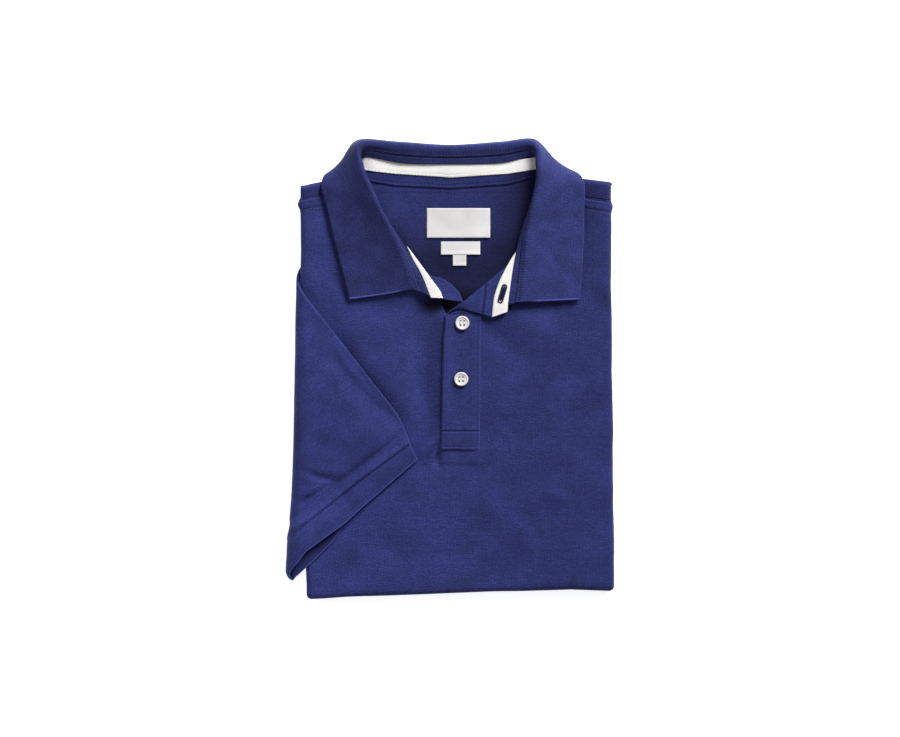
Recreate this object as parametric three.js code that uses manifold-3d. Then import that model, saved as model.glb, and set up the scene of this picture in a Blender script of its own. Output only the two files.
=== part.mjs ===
// A short-sleeve polo shirt, folded and lying face up: sides folded behind, the lower half folded
// up behind, one sleeve brought over the front. Millimetres, +Z up, collar towards +Y.
// Plan measures run from the middle of the folded body; the last step moves the origin to the
// middle of the shirt's box, on the surface that it rests on.

import * as THREE from 'three';
import Module from 'manifold-3d';

const wasm = await Module();
wasm.setup();

// Cloth thicknesses and the room left between two pieces.
const PIQUE = 1.4;
const JERSEY = 1.2;
const RIB = 2.0;
const STAND = 1.8;
const TAPE = 1.0;
const LABEL = 1.0;
const SEAM_GAP = 0.4;

// The folded stack.
const STACK_HEIGHT = 22;
const STACK_CROWN = 2.4;
const CROWN_HALF_WIDTH = 134;
const CROWN_RUN = 70;
const EDGE_RADIUS = 4.2;
const SIDE_WRAP = 45;
const HEM_Y = 130;
const LOWER_INSET = 1.6;
const BACK_DROP = PIQUE + SEAM_GAP;

// Outline of the folded body, read along it: y against x, or x against y.
const LEFT_EDGE = [
  { y: -196, x: -128.5 },
  { y: -160, x: -130 },
  { y: -60, x: -134 },
  { y: 165, x: -134.5 },
];
const RIGHT_EDGE = [
  { y: -196, x: 135 },
  { y: -50, x: 134.6 },
  { y: 40, x: 133.2 },
  { y: 100, x: 132.4 },
  { y: 165, x: 132.6 },
];
const BOTTOM_FOLD = [
  { x: -134, y: -196.3 },
  { x: -69, y: -193.6 },
  { x: 13, y: -190.5 },
  { x: 96, y: -187.9 },
  { x: 135, y: -189.6 },
];
const SHOULDER_SEAM = [
  { x: -135, y: 145.6 },
  { x: -115, y: 149.2 },
  { x: -60, y: 151.5 },
  { x: 60, y: 151.5 },
  { x: 110, y: 147.5 },
  { x: 134, y: 143.4 },
];
const TOP_FOLD = [
  { x: -135, y: 157 },
  { x: -114, y: 162 },
  { x: 0, y: 164 },
  { x: 107, y: 164.5 },
  { x: 134, y: 160 },
];

// How much of the back panel's upper edge is shoulder (1) or neck (0), and where its neck edge lies.
const SHOULDER_SHARE = [
  { x: -96, share: 1 },
  { x: -80, share: 0 },
  { x: 72, share: 0 },
  { x: 90, share: 1 },
];
const BACK_NECK_Y = 171;
const YOKE_TUCK = 5;
const YOKE_STEP = 0.9;

// The hollow of the neck, where the back panel sags between the open fronts.
const NECK_HOLLOW = { x: -4, y: 112, halfWidth: 62, halfLength: 62, depth: 3.0 };

// The front panel's neck and placket opening, under the collar.
const NECK_OPENING = [
  [-87, 180], [-80, 163], [-70, 134], [-56, 111], [-46, 101], [-30.5, 84], [-24.5, 78],
  [-14, 74.5], [-6.5, 70], [0, 63], [1.5, 55], [6.5, 52], [11.5, 56], [26, 68], [42, 82],
  [55.5, 99], [61, 111], [67, 132], [73, 154], [76, 180],
];

// Collar stations from the wearer's right front point, round the back, to the left front point.
// crest: middle of the roll. seam: foot of the stand. bend: where the leaf turns. edge: leaf edge.
// Each rise is the height over the folded body; a leaf behind the neck reaches below it.
const COLLAR_STATIONS = [
  { crestX: -33.5, crestY: 69.2, crestRise: 6.4, roll: 2.6, seamX: -23.8, seamY: 62.8, seamRise: 4.2,
    bendX: -58, bendY: 64.5, bendRise: 4.0, edgeX: -92, edgeY: 59.8, edgeRise: 2.7 },
  { crestX: -40, crestY: 87.3, crestRise: 8.2, roll: 2.9, seamX: -33, seamY: 81.3, seamRise: 3.6,
    bendX: -66, bendY: 88, bendRise: 4.6, edgeX: -98.9, edgeY: 87.3, edgeRise: 2.7 },
  { crestX: -50.3, crestY: 110.5, crestRise: 10.4, roll: 3.2, seamX: -44.5, seamY: 106, seamRise: 2.4,
    bendX: -75, bendY: 112, bendRise: 5.2, edgeX: -105.3, edgeY: 111.4, edgeRise: 2.7 },
  { crestX: -64.9, crestY: 135.4, crestRise: 12.6, roll: 3.5, seamX: -59.5, seamY: 132, seamRise: 1.2,
    bendX: -86, bendY: 139, bendRise: 6.4, edgeX: -111.8, edgeY: 139.8, edgeRise: 2.9 },
  { crestX: -75, crestY: 158, crestRise: 13.6, roll: 3.6, seamX: -69.5, seamY: 156, seamRise: 0.6,
    bendX: -95, bendY: 161, bendRise: 6.6, edgeX: -115.7, edgeY: 158.5, edgeRise: 3.2 },
  { crestX: -81.2, crestY: 174.2, crestRise: 12.8, roll: 3.8, seamX: -75.6, seamY: 170.5, seamRise: 0.8,
    bendX: -97.6, bendY: 178, bendRise: 1.0, edgeX: -109, edgeY: 169.5, edgeRise: -7.5 },
  { crestX: -80.6, crestY: 191.4, crestRise: 9.6, roll: 4.2, seamX: -73.5, seamY: 179.4, seamRise: 1.4,
    bendX: -87.2, bendY: 195.4, bendRise: -11, edgeX: -86, edgeY: 171, edgeRise: -21 },
  { crestX: -48.6, crestY: 190.9, crestRise: 6.8, roll: 4.5, seamX: -42, seamY: 177.2, seamRise: 1.6,
    bendX: -50, bendY: 194.2, bendRise: -15, edgeX: -48, edgeY: 165, edgeRise: -22.3 },
  { crestX: -5.6, crestY: 188.4, crestRise: 6.2, roll: 4.5, seamX: -5.6, seamY: 176, seamRise: 1.6,
    bendX: -5.6, bendY: 191.5, bendRise: -15, edgeX: -5.6, edgeY: 163, edgeRise: -22.6 },
  { crestX: 37.4, crestY: 190.9, crestRise: 6.8, roll: 4.5, seamX: 32, seamY: 177.2, seamRise: 1.6,
    bendX: 39, bendY: 194.2, bendRise: -15, edgeX: 38, edgeY: 165, edgeRise: -22.3 },
  { crestX: 67.8, crestY: 191.8, crestRise: 9.6, roll: 4.2, seamX: 62, seamY: 179.8, seamRise: 1.4,
    bendX: 75.2, bendY: 195.6, bendRise: -11, edgeX: 76, edgeY: 171, edgeRise: -21 },
  { crestX: 71.6, crestY: 175, crestRise: 12.8, roll: 3.8, seamX: 66.4, seamY: 171.5, seamRise: 0.8,
    bendX: 88.4, bendY: 179, bendRise: 1.0, edgeX: 100, edgeY: 171.5, edgeRise: -7.5 },
  { crestX: 70.5, crestY: 160, crestRise: 13.6, roll: 3.6, seamX: 65, seamY: 158.5, seamRise: 0.6,
    bendX: 90, bendY: 163, bendRise: 6.6, edgeX: 108.8, edgeY: 161.2, edgeRise: 3.2 },
  { crestX: 65.8, crestY: 141.5, crestRise: 12.6, roll: 3.5, seamX: 60, seamY: 139.5, seamRise: 1.2,
    bendX: 87, bendY: 141.5, bendRise: 6.4, edgeX: 109.2, edgeY: 139.8, edgeRise: 2.9 },
  { crestX: 59.5, crestY: 115.7, crestRise: 10.4, roll: 3.2, seamX: 54.2, seamY: 112, seamRise: 2.6,
    bendX: 84, bendY: 114, bendRise: 5.2, edgeX: 108.8, edgeY: 111.4, edgeRise: 2.7 },
  { crestX: 56.5, crestY: 87.3, crestRise: 8.6, roll: 2.9, seamX: 51.6, seamY: 87, seamRise: 4.4,
    bendX: 80, bendY: 86.5, bendRise: 4.6, edgeX: 107.5, edgeY: 85.6, edgeRise: 2.7 },
  { crestX: 53.4, crestY: 57.5, crestRise: 7.4, roll: 2.6, seamX: 48, seamY: 57, seamRise: 5.2,
    bendX: 78, bendY: 58.5, bendRise: 4.0, edgeX: 105.8, edgeY: 59.8, edgeRise: 2.7 },
];
const COLLAR_ROWS = 44;
const COLLAR_SHARE = 0.42;

// The sleeve: its hem runs from the hem corner across the front, its fold from there to the edge.
const HEM_CORNER = new THREE.Vector2(-33, -77);
const ACROSS = new THREE.Vector2(-0.771, -0.637);
const ALONG = new THREE.Vector2(-0.616, 0.788);
const SLEEVE_WIDTH = 149;
const SLEEVE_TAIL = 26;
const LEAST_FLAT = 4;
const SLEEVE_ROOM = 1.0;
const SLEEVE_RISE = SEAM_GAP + JERSEY + SLEEVE_ROOM + JERSEY;
const WRAP_RADIUS = 8.3;
const WRAP_LENGTH = (Math.PI * WRAP_RADIUS) / -ALONG.x;
const SLEEVE_EDGE = [
  { y: -176, x: -145.5 },
  { y: -138, x: -142.5 },
  { y: -69, x: -139.6 },
  { y: 17, x: -138.2 },
  { y: 120, x: -137.8 },
];
const FOLD_BOW = { out: 10.2, from: -4, to: 46, reach: 58 };
const HEM_TIP = { out: 8, from: 104, to: 147, reach: 22 };
const MOUTH = { at: 116, halfWidth: 38, reach: 26, lift: 4.6, underlap: 8.5 };

// Placket strips on the front. Left and right edges read against y.
const PLACKET_STRIP = [
  { y: -69, left: -13.4, right: 19.4 },
  { y: -20, left: -12.4, right: 20 },
  { y: 25, left: -11.2, right: 20.2 },
  { y: 46, left: -9.2, right: 21 },
];
const PLACKET_TOP = [
  { x: -10, y: 45.2 },
  { x: -3, y: 49.6 },
  { x: 4, y: 51.2 },
  { x: 12.5, y: 49 },
  { x: 21.5, y: 46.3 },
];
const PLACKET_RISE = SEAM_GAP + PIQUE;

// Long edges of the pieces that lie open in the neck, from their outer to their inner side.
const TURNBACK_EDGES = [
  { outX: -8.4, outY: 46.8, inX: -8.6, inY: 47.9, outRise: 2.6, inRise: 2.6 },
  { outX: -3, outY: 50.4, inX: -3.6, inY: 52.2, outRise: 3.0, inRise: 2.9 },
  { outX: 4, outY: 52, inX: 2.4, inY: 56.1, outRise: 3.3, inRise: 3.0 },
  { outX: 12.6, outY: 49.8, inX: 10, inY: 61.6, outRise: 3.4, inRise: 3.0 },
  { outX: 22, outY: 47.1, inX: 23.6, inY: 72.8, outRise: 3.3, inRise: 2.8 },
  { outX: 31.6, outY: 44.6, inX: 33, inY: 80.4, outRise: 3.2, inRise: 2.7 },
  { outX: 44.6, outY: 50.6, inX: 45.4, inY: 91, outRise: 3.2, inRise: 2.5 },
];
const UNDER_EDGES = [
  { outX: -31.2, outY: 85.4, inX: -27.2, inY: 86.6, outRise: 2.0, inRise: 2.0 },
  { outX: -27.2, outY: 79, inX: -21.6, inY: 80.9, outRise: 1.9, inRise: 2.1 },
  { outX: -22.8, outY: 73, inX: -12.4, inY: 78.4, outRise: 1.8, inRise: 2.0 },
  { outX: -18.4, outY: 67, inX: -3.8, inY: 72.7, outRise: 1.8, inRise: 1.9 },
  { outX: -14.6, outY: 62.4, inX: 3, inY: 64.9, outRise: 1.8, inRise: 1.8 },
  { outX: -12.4, outY: 59.8, inX: 5.5, inY: 57.8, outRise: 1.8, inRise: 1.8 },
];
const TAPE_RIGHT_EDGES = [
  { outX: -42.6, outY: 105.8, inX: -41.4, inY: 104.8, outRise: 2.2, inRise: 2.2 },
  { outX: -37.6, outY: 95, inX: -34.4, inY: 95.4, outRise: 2.9, inRise: 2.8 },
  { outX: -31.6, outY: 84.4, inX: -27, inY: 85.2, outRise: 3.5, inRise: 3.4 },
  { outX: -27.6, outY: 75.6, inX: -21.4, inY: 77.6, outRise: 3.8, inRise: 3.4 },
  { outX: -24.4, outY: 67, inX: -14.2, inY: 67.6, outRise: 3.9, inRise: 3.4 },
  { outX: -22.2, outY: 61.6, inX: -11.6, inY: 61.2, outRise: 3.9, inRise: 3.4 },
];
const TAPE_LEFT_EDGES = [
  { outX: 53.2, outY: 103.4, inX: 52.6, inY: 102.6, outRise: 3.4, inRise: 3.4 },
  { outX: 50.8, outY: 95.9, inX: 47.6, inY: 95.6, outRise: 4.0, inRise: 4.0 },
  { outX: 49.2, outY: 83.9, inX: 40.5, inY: 83, outRise: 4.6, inRise: 4.4 },
  { outX: 47.6, outY: 71.8, inX: 36, inY: 73, outRise: 4.9, inRise: 4.7 },
  { outX: 45, outY: 61.5, inX: 32.3, inY: 61, outRise: 5.1, inRise: 4.9 },
  { outX: 43.2, outY: 49.4, inX: 30.6, inY: 45, outRise: 5.1, inRise: 4.9 },
];

// The tape along the back neck seam: its upper and lower edges read against x.
const BACK_TAPE = [
  { x: -73, upper: 178.2, lower: 167.2 },
  { x: -40, upper: 176, lower: 165 },
  { x: -4, upper: 175, lower: 164.2 },
  { x: 32, upper: 176, lower: 165 },
  { x: 63, upper: 178.2, lower: 167.2 },
];

// Sewn-in labels: side edges, lower edge and upper edge.
const LABELS = [
  { name: 'label_main', left: -25.4, right: 28.8, low: 113.4, high: 138.6 },
  { name: 'label_size', left: -13.3, right: 20.2, low: 98.9, high: 109.9 },
  { name: 'label_fibre', left: -3, right: 8.2, low: 89.4, high: 98.4 },
];

const BUTTON = { diameter: 12.5, height: 2.6, rim: 1.5, dish: 0.6, hole: 1.7, holeSpread: 3.2 };
const BUTTON_PLACES = [
  { name: 'button_1', x: 5, y: 39.9 },
  { name: 'button_2', x: 4, y: -8.3 },
];

const NAVY = { color: 0x2b3062, roughness: 0.92, metalness: 0 };
const NAVY_DEEP = { color: 0x242955, roughness: 0.95, metalness: 0 };
const NAVY_RIB = { color: 0x353b6c, roughness: 0.9, metalness: 0 };
const WHITE_TAPE = { color: 0xf1efec, roughness: 0.8, metalness: 0 };
const WHITE_LABEL = { color: 0xe2dfdf, roughness: 0.6, metalness: 0 };
const PEARL = { color: 0xdcdad6, roughness: 0.3, metalness: 0 };

// Reading the tables.
function readTable(table, key, at, column) {
  let after = table.findIndex((row) => row[key] >= at);
  if (after < 0) {
    after = table.length - 1;
  }
  if (after === 0) {
    return table[0][column];
  }
  const low = table[after - 1];
  const high = table[after];
  const share = THREE.MathUtils.clamp((at - low[key]) / (high[key] - low[key]), 0, 1);
  return THREE.MathUtils.lerp(low[column], high[column], share);
}

function smoothRow(table, share) {
  const place = share * (table.length - 1);
  const index = Math.min(Math.floor(place), table.length - 2);
  const t = place - index;
  const before = table[Math.max(index - 1, 0)];
  const start = table[index];
  const end = table[index + 1];
  const after = table[Math.min(index + 2, table.length - 1)];
  const row = {};
  for (const column of Object.keys(start)) {
    const slopeStart = (end[column] - before[column]) / 2;
    const slopeEnd = (after[column] - start[column]) / 2;
    const rise = end[column] - start[column];
    const square = 3 * rise - 2 * slopeStart - slopeEnd;
    const cube = slopeStart + slopeEnd - 2 * rise;
    row[column] = start[column] + t * (slopeStart + t * (square + t * cube));
  }
  return row;
}

const leftEdge = (y) => readTable(LEFT_EDGE, 'y', y, 'x');
const rightEdge = (y) => readTable(RIGHT_EDGE, 'y', y, 'x');
const bottomFold = (x) => readTable(BOTTOM_FOLD, 'x', x, 'y');

// Height of the folded body's upper surface.
function bodyTop(x, y) {
  const across = 1 - Math.min((x / CROWN_HALF_WIDTH) ** 2, 1);
  const foldY = bottomFold(x) + STACK_HEIGHT / 2;
  const run = THREE.MathUtils.smoothstep(y, foldY, foldY + CROWN_RUN);
  return STACK_HEIGHT + STACK_CROWN * across * run;
}

// Height of the back panel's inner face, seen in the open neck.
function backTop(x, y) {
  const dx = (x - NECK_HOLLOW.x) / NECK_HOLLOW.halfWidth;
  const dy = (y - NECK_HOLLOW.y) / NECK_HOLLOW.halfLength;
  const hollow = Math.max(0, 1 - dx * dx - dy * dy);
  const rise = THREE.MathUtils.smoothstep(y, 150, BACK_NECK_Y);
  return bodyTop(x, y) - BACK_DROP - NECK_HOLLOW.depth * hollow ** 1.5 + rise;
}

// Cloth made from a grid of points on its outer face.
function gridOf(rowCount, columnCount, pointAt) {
  const grid = [];
  for (let row = 0; row < rowCount; row += 1) {
    const line = [];
    for (let column = 0; column < columnCount; column += 1) {
      line.push(pointAt(column / (columnCount - 1), row / (rowCount - 1), column, row));
    }
    grid.push(line);
  }
  return grid;
}

function gridNormals(grid, closed) {
  const rows = grid.length;
  const columns = grid[0].length;
  return grid.map((line, row) => line.map((point, column) => {
    const up = grid[Math.min(row + 1, rows - 1)][column];
    const down = grid[Math.max(row - 1, 0)][column];
    const next = closed ? line[(column + 1) % columns] : line[Math.min(column + 1, columns - 1)];
    const last = closed ? line[(column + columns - 1) % columns] : line[Math.max(column - 1, 0)];
    const across = next.clone().sub(last);
    const along = up.clone().sub(down);
    return across.cross(along).normalize();
  }));
}

// A closed solid between an outer grid and an inner grid; closed joins the last column to the first.
function solidBetween(outer, inner, closed) {
  const rows = outer.length;
  const columns = outer[0].length;
  const positions = [];
  for (const grid of [outer, inner]) {
    for (const line of grid) {
      for (const point of line) {
        positions.push(point.x, point.y, point.z);
      }
    }
  }
  const faces = [];
  const quad = (a, b, c, d) => faces.push(a, b, c, a, c, d);
  const outside = (row, column) => row * columns + (column % columns);
  const inside = (row, column) => rows * columns + outside(row, column);
  const lastColumn = closed ? columns : columns - 1;
  for (let row = 0; row < rows - 1; row += 1) {
    for (let column = 0; column < lastColumn; column += 1) {
      quad(outside(row, column), outside(row, column + 1),
        outside(row + 1, column + 1), outside(row + 1, column));
      quad(inside(row, column), inside(row + 1, column),
        inside(row + 1, column + 1), inside(row, column + 1));
    }
  }
  for (let column = 0; column < lastColumn; column += 1) {
    quad(outside(0, column), inside(0, column), inside(0, column + 1), outside(0, column + 1));
    quad(outside(rows - 1, column + 1), inside(rows - 1, column + 1),
      inside(rows - 1, column), outside(rows - 1, column));
  }
  if (!closed) {
    const end = columns - 1;
    for (let row = 0; row < rows - 1; row += 1) {
      quad(outside(row + 1, 0), inside(row + 1, 0), inside(row, 0), outside(row, 0));
      quad(outside(row, end), inside(row, end), inside(row + 1, end), outside(row + 1, end));
    }
  }
  const geometry = new THREE.BufferGeometry();
  geometry.setAttribute('position', new THREE.Float32BufferAttribute(positions, 3));
  geometry.setIndex(signedVolume(positions, faces) < 0 ? reversed(faces) : faces);
  return geometry;
}

function signedVolume(positions, faces) {
  let volume = 0;
  const corner = (index) => new THREE.Vector3().fromArray(positions, index * 3);
  for (let face = 0; face < faces.length; face += 3) {
    volume += corner(faces[face]).dot(corner(faces[face + 1]).cross(corner(faces[face + 2]))) / 6;
  }
  return volume;
}

function reversed(faces) {
  const turned = [];
  for (let face = 0; face < faces.length; face += 3) {
    turned.push(faces[face], faces[face + 2], faces[face + 1]);
  }
  return turned;
}

// Cloth of even thickness; side is 1 where the wall lies against the grid's normal, -1 with it.
function clothFrom(grid, wall, side = 1, closed = false) {
  const normals = gridNormals(grid, closed);
  const inner = grid.map((line, row) => line.map((point, column) => (
    point.clone().addScaledVector(normals[row][column], -side * wall))));
  return solidBetween(grid, inner, closed);
}

// Cloth that lies flat, with its thickness straight down.
function laidCloth(grid, wall) {
  const under = grid.map((line) => line.map((point) => new THREE.Vector3(point.x, point.y, point.z - wall)));
  return solidBetween(grid, under, false);
}

// Joining and cutting.
function toManifold(geometry) {
  const mesh = new wasm.Mesh({
    numProp: 3,
    vertProperties: new Float32Array(geometry.attributes.position.array),
    triVerts: new Uint32Array(geometry.index.array),
  });
  return new wasm.Manifold(mesh);
}

function fromManifold(solid) {
  const mesh = solid.getMesh();
  const geometry = new THREE.BufferGeometry();
  geometry.setAttribute('position', new THREE.Float32BufferAttribute(mesh.vertProperties, 3));
  geometry.setIndex(Array.from(mesh.triVerts));
  return geometry;
}

// A closed upright prism over a plan outline given anticlockwise.
function prism(outline, low, high) {
  const shape = outline.map(([x, y]) => new THREE.Vector2(x, y));
  const caps = THREE.ShapeUtils.triangulateShape(shape, []);
  const count = shape.length;
  const positions = [];
  for (const z of [low, high]) {
    for (const point of shape) {
      positions.push(point.x, point.y, z);
    }
  }
  const faces = [];
  for (const [a, b, c] of caps) {
    faces.push(a, c, b, a + count, b + count, c + count);
  }
  for (let index = 0; index < count; index += 1) {
    const next = (index + 1) % count;
    faces.push(index, next, next + count, index, next + count, index + count);
  }
  const geometry = new THREE.BufferGeometry();
  geometry.setAttribute('position', new THREE.Float32BufferAttribute(positions, 3));
  geometry.setIndex(signedVolume(positions, faces) < 0 ? reversed(faces) : faces);
  return geometry;
}

// The body's section: a wide face whose sides turn round and tuck in beneath.
function wrapSection(wrap, arcSteps, faceSteps) {
  const section = [];
  const wrapInset = EDGE_RADIUS + wrap;
  section.push({ side: -1, inset: wrapInset, depth: 2 * EDGE_RADIUS });
  section.push({ side: -1, inset: EDGE_RADIUS + wrap / 2, depth: 2 * EDGE_RADIUS });
  for (let step = 0; step <= arcSteps; step += 1) {
    const angle = Math.PI * (1 - step / arcSteps);
    const inset = EDGE_RADIUS * (1 - Math.sin(angle));
    section.push({ side: -1, inset, depth: EDGE_RADIUS * (1 - Math.cos(angle)) });
  }
  for (let step = 1; step < faceSteps; step += 1) {
    section.push({ side: 0, share: step / faceSteps, depth: 0 });
  }
  const left = section.filter((column) => column.side < 0);
  for (const column of left.reverse()) {
    section.push({ side: 1, inset: column.inset, depth: column.depth });
  }
  return section;
}

function sectionX(column, left, right) {
  if (column.side < 0) {
    return left + column.inset;
  }
  if (column.side > 0) {
    return right - column.inset;
  }
  return THREE.MathUtils.lerp(left + EDGE_RADIUS, right - EDGE_RADIUS, column.share);
}

function frontPanel() {
  const section = wrapSection(SIDE_WRAP, 4, 14);
  const faceRows = 19;
  const foldRows = 5;
  const underRows = 6;
  const rows = [];
  for (let row = 0; row <= faceRows; row += 1) {
    rows.push({ part: 'face', share: row / faceRows });
  }
  for (let row = 1; row <= foldRows; row += 1) {
    rows.push({ part: 'fold', share: row / foldRows });
  }
  for (let row = 1; row <= underRows; row += 1) {
    rows.push({ part: 'under', share: row / underRows });
  }
  const half = STACK_HEIGHT / 2;
  const grid = rows.map(({ part, share }) => section.map((column) => {
    const guessX = sectionX(column, leftEdge(0), rightEdge(0));
    const foldY = bottomFold(guessX) + half;
    if (part === 'face') {
      const seamY = readTable(SHOULDER_SEAM, 'x', guessX, 'y');
      const y = THREE.MathUtils.lerp(seamY, foldY, share);
      const x = sectionX(column, leftEdge(y), rightEdge(y));
      return new THREE.Vector3(x, y, bodyTop(x, y) - column.depth);
    }
    if (part === 'fold') {
      const x = sectionX(column, leftEdge(foldY), rightEdge(foldY));
      const angle = Math.PI * share;
      const radius = half - column.depth;
      return new THREE.Vector3(x, foldY - radius * Math.sin(angle), half + radius * Math.cos(angle));
    }
    const y = THREE.MathUtils.lerp(foldY, HEM_Y, share);
    const inset = LOWER_INSET * THREE.MathUtils.smoothstep(share, 0, 0.3);
    const x = sectionX(column, leftEdge(y) + inset, rightEdge(y) - inset);
    return new THREE.Vector3(x, y, column.depth);
  }));
  const cloth = toManifold(clothFrom(grid, PIQUE, -1));
  const opening = toManifold(prism(NECK_OPENING, STACK_HEIGHT - 4, STACK_HEIGHT + 10));
  return fromManifold(cloth.subtract(opening));
}

// The back panel lies under the front, comes up at the shoulder seams and turns over the top fold.
function backPanel() {
  const arcSteps = 2;
  const faceSteps = 14;
  const section = [];
  for (let step = 0; step <= arcSteps; step += 1) {
    const angle = (Math.PI / 2) * (1 - step / arcSteps);
    const inset = EDGE_RADIUS * (1 - Math.sin(angle));
    section.push({ side: -1, inset, depth: EDGE_RADIUS * (1 - Math.cos(angle)) });
  }
  for (let step = 1; step < faceSteps; step += 1) {
    section.push({ side: 0, share: step / faceSteps, depth: 0 });
  }
  for (const column of section.slice(0, arcSteps + 1).reverse()) {
    section.push({ side: 1, inset: column.inset, depth: column.depth });
  }
  const lowStart = -150;
  const rows = [];
  for (let row = 0; row <= 16; row += 1) {
    rows.push({ part: 'under', share: row / 16 });
  }
  rows.push({ part: 'yoke', share: 0 });
  rows.push({ part: 'yoke', share: 1 });
  for (let row = 1; row <= 4; row += 1) {
    rows.push({ part: 'fold', share: row / 4 });
  }
  rows.push({ part: 'tuck', share: 1 });
  const edgeRoom = 5;
  const grid = rows.map(({ part, share }) => section.map((column) => {
    const guessX = sectionX(column, leftEdge(150), rightEdge(150));
    const seamY = readTable(SHOULDER_SEAM, 'x', guessX, 'y') + 2 * SEAM_GAP;
    const innerLeft = (y) => leftEdge(y) + edgeRoom;
    const innerRight = (y) => rightEdge(y) - edgeRoom;
    if (part === 'under') {
      const y = THREE.MathUtils.lerp(lowStart, seamY, share);
      const x = sectionX({ ...column, depth: 0 }, innerLeft(y), innerRight(y));
      return new THREE.Vector3(x, y, backTop(x, y));
    }
    const shoulder = readTable(SHOULDER_SHARE, 'x', guessX, 'share');
    const topY = readTable(TOP_FOLD, 'x', guessX, 'y') - EDGE_RADIUS;
    const startY = seamY + YOKE_STEP;
    const outerX = (y) => sectionX(column, leftEdge(y), rightEdge(y));
    const neckShare = { yoke: share * 0.5, fold: 0.5 + share * 0.35, tuck: 1 }[part];
    const neckY = THREE.MathUtils.lerp(startY, BACK_NECK_Y, neckShare);
    const neck = new THREE.Vector3(outerX(neckY), neckY, backTop(outerX(neckY), neckY));
    let y = THREE.MathUtils.lerp(startY, topY, share);
    let depth = 0;
    if (part !== 'yoke') {
      const angle = part === 'fold' ? Math.PI * share : Math.PI;
      y = topY + EDGE_RADIUS * Math.sin(angle) - (part === 'tuck' ? YOKE_TUCK : 0);
      depth = EDGE_RADIUS * (1 - Math.cos(angle));
    }
    const full = 2 * EDGE_RADIUS;
    const joined = full * (1 - (1 - column.depth / full) * (1 - depth / full));
    const x = outerX(y);
    const shoulderPoint = new THREE.Vector3(x, y, bodyTop(x, y) + SEAM_GAP - joined);
    return neck.lerp(shoulderPoint, shoulder);
  }));
  return clothFrom(grid, JERSEY, 1);
}

// The layers folded inside, as one solid, with their edges standing out in steps.
function hiddenLayers() {
  const slabRows = 14;
  const slabColumns = 12;
  const upperTop = (x, y) => backTop(x, y) - JERSEY - SEAM_GAP;
  const upperLow = (x, y) => bodyTop(x, y) - 2 * EDGE_RADIUS + PIQUE + SEAM_GAP;
  const lowerHigh = 2 * EDGE_RADIUS - PIQUE - SEAM_GAP;
  const lowerLow = PIQUE + SEAM_GAP;
  const foldY = -178;
  const slab = (left, right, low, high, top, bottom, rows, columns) => {
    const plan = (u, v) => {
      const y = THREE.MathUtils.lerp(low, high, v);
      return [THREE.MathUtils.lerp(left(y), right(y), u), y];
    };
    const upper = gridOf(rows, columns, (u, v) => {
      const [x, y] = plan(u, v);
      return new THREE.Vector3(x, y, top(x, y));
    });
    const lower = gridOf(rows, columns, (u, v) => {
      const [x, y] = plan(u, v);
      return new THREE.Vector3(x, y, bottom(x, y));
    });
    return toManifold(solidBetween(upper, lower, false));
  };
  const room = EDGE_RADIUS + SEAM_GAP;
  const waist = EDGE_RADIUS + SIDE_WRAP + 2 * SEAM_GAP;
  const sideLeft = (y) => leftEdge(y) + room;
  const sideRight = (y) => rightEdge(y) - room;
  const coreLeft = (y) => leftEdge(y) + waist;
  const coreRight = (y) => rightEdge(y) - waist - LOWER_INSET;
  const flat = (z) => () => z;
  const middleLow = 2 * EDGE_RADIUS + SEAM_GAP;
  const middleHigh = (x, y) => bodyTop(x, y) - 2 * EDGE_RADIUS - SEAM_GAP;
  const upper = slab(sideLeft, sideRight, foldY, 142, upperTop, upperLow, slabRows, slabColumns);
  const core = slab((y) => coreLeft(y) + LOWER_INSET, coreRight, foldY, 138,
    (x, y) => upperLow(x, y) + 0.5, flat(lowerLow), 6, 6);
  const lower = slab((y) => sideLeft(y) + LOWER_INSET, (y) => sideRight(y) - LOWER_INSET, foldY, 127,
    flat(lowerHigh), flat(lowerLow), 8, 3);
  const folded = slab((y) => coreRight(y) - 4, (y) => rightEdge(y) - 7, -160, 118,
    middleHigh, flat(middleLow), 8, 3);
  const hemStep = slab((y) => coreLeft(y) + 8, (y) => coreRight(y) - 6, 120, 133,
    flat(lowerHigh + 2.2), flat(lowerLow + 2.4), 2, 3);
  return fromManifold(upper.add(core).add(lower).add(folded).add(hemStep));
}

// Plan place on the sleeve: its fold line stands out past the hem corner, and so does the hem's tip.
function sleevePlan(across, along) {
  const out = FOLD_BOW.out * THREE.MathUtils.smoothstep(along, FOLD_BOW.from, FOLD_BOW.to)
    * Math.exp(-((across / FOLD_BOW.reach) ** 2));
  const tip = HEM_TIP.out * THREE.MathUtils.smoothstep(across, HEM_TIP.from, HEM_TIP.to)
    * Math.exp(-((along / HEM_TIP.reach) ** 2));
  const placed = across - out + tip;
  return {
    x: HEM_CORNER.x + placed * ACROSS.x + along * ALONG.x,
    y: HEM_CORNER.y + placed * ACROSS.y + along * ALONG.y,
  };
}

// A flattened tube that comes out between the folded halves and turns up over the left edge.
function sleevePoint(across, along, rise) {
  const { x, y } = sleevePlan(across, along);
  const centreX = readTable(SLEEVE_EDGE, 'y', y, 'x') + WRAP_RADIUS;
  if (x >= centreX) {
    return new THREE.Vector3(x, y, bodyTop(x, y) + rise);
  }
  const centreZ = bodyTop(centreX, y) + SLEEVE_RISE - WRAP_RADIUS;
  const radius = WRAP_RADIUS + rise - SLEEVE_RISE;
  const angle = (centreX - x) / WRAP_RADIUS;
  if (angle < Math.PI) {
    return new THREE.Vector3(centreX - radius * Math.sin(angle), y, centreZ + radius * Math.cos(angle));
  }
  return new THREE.Vector3(centreX + (angle - Math.PI) * WRAP_RADIUS, y, centreZ - radius);
}

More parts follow.
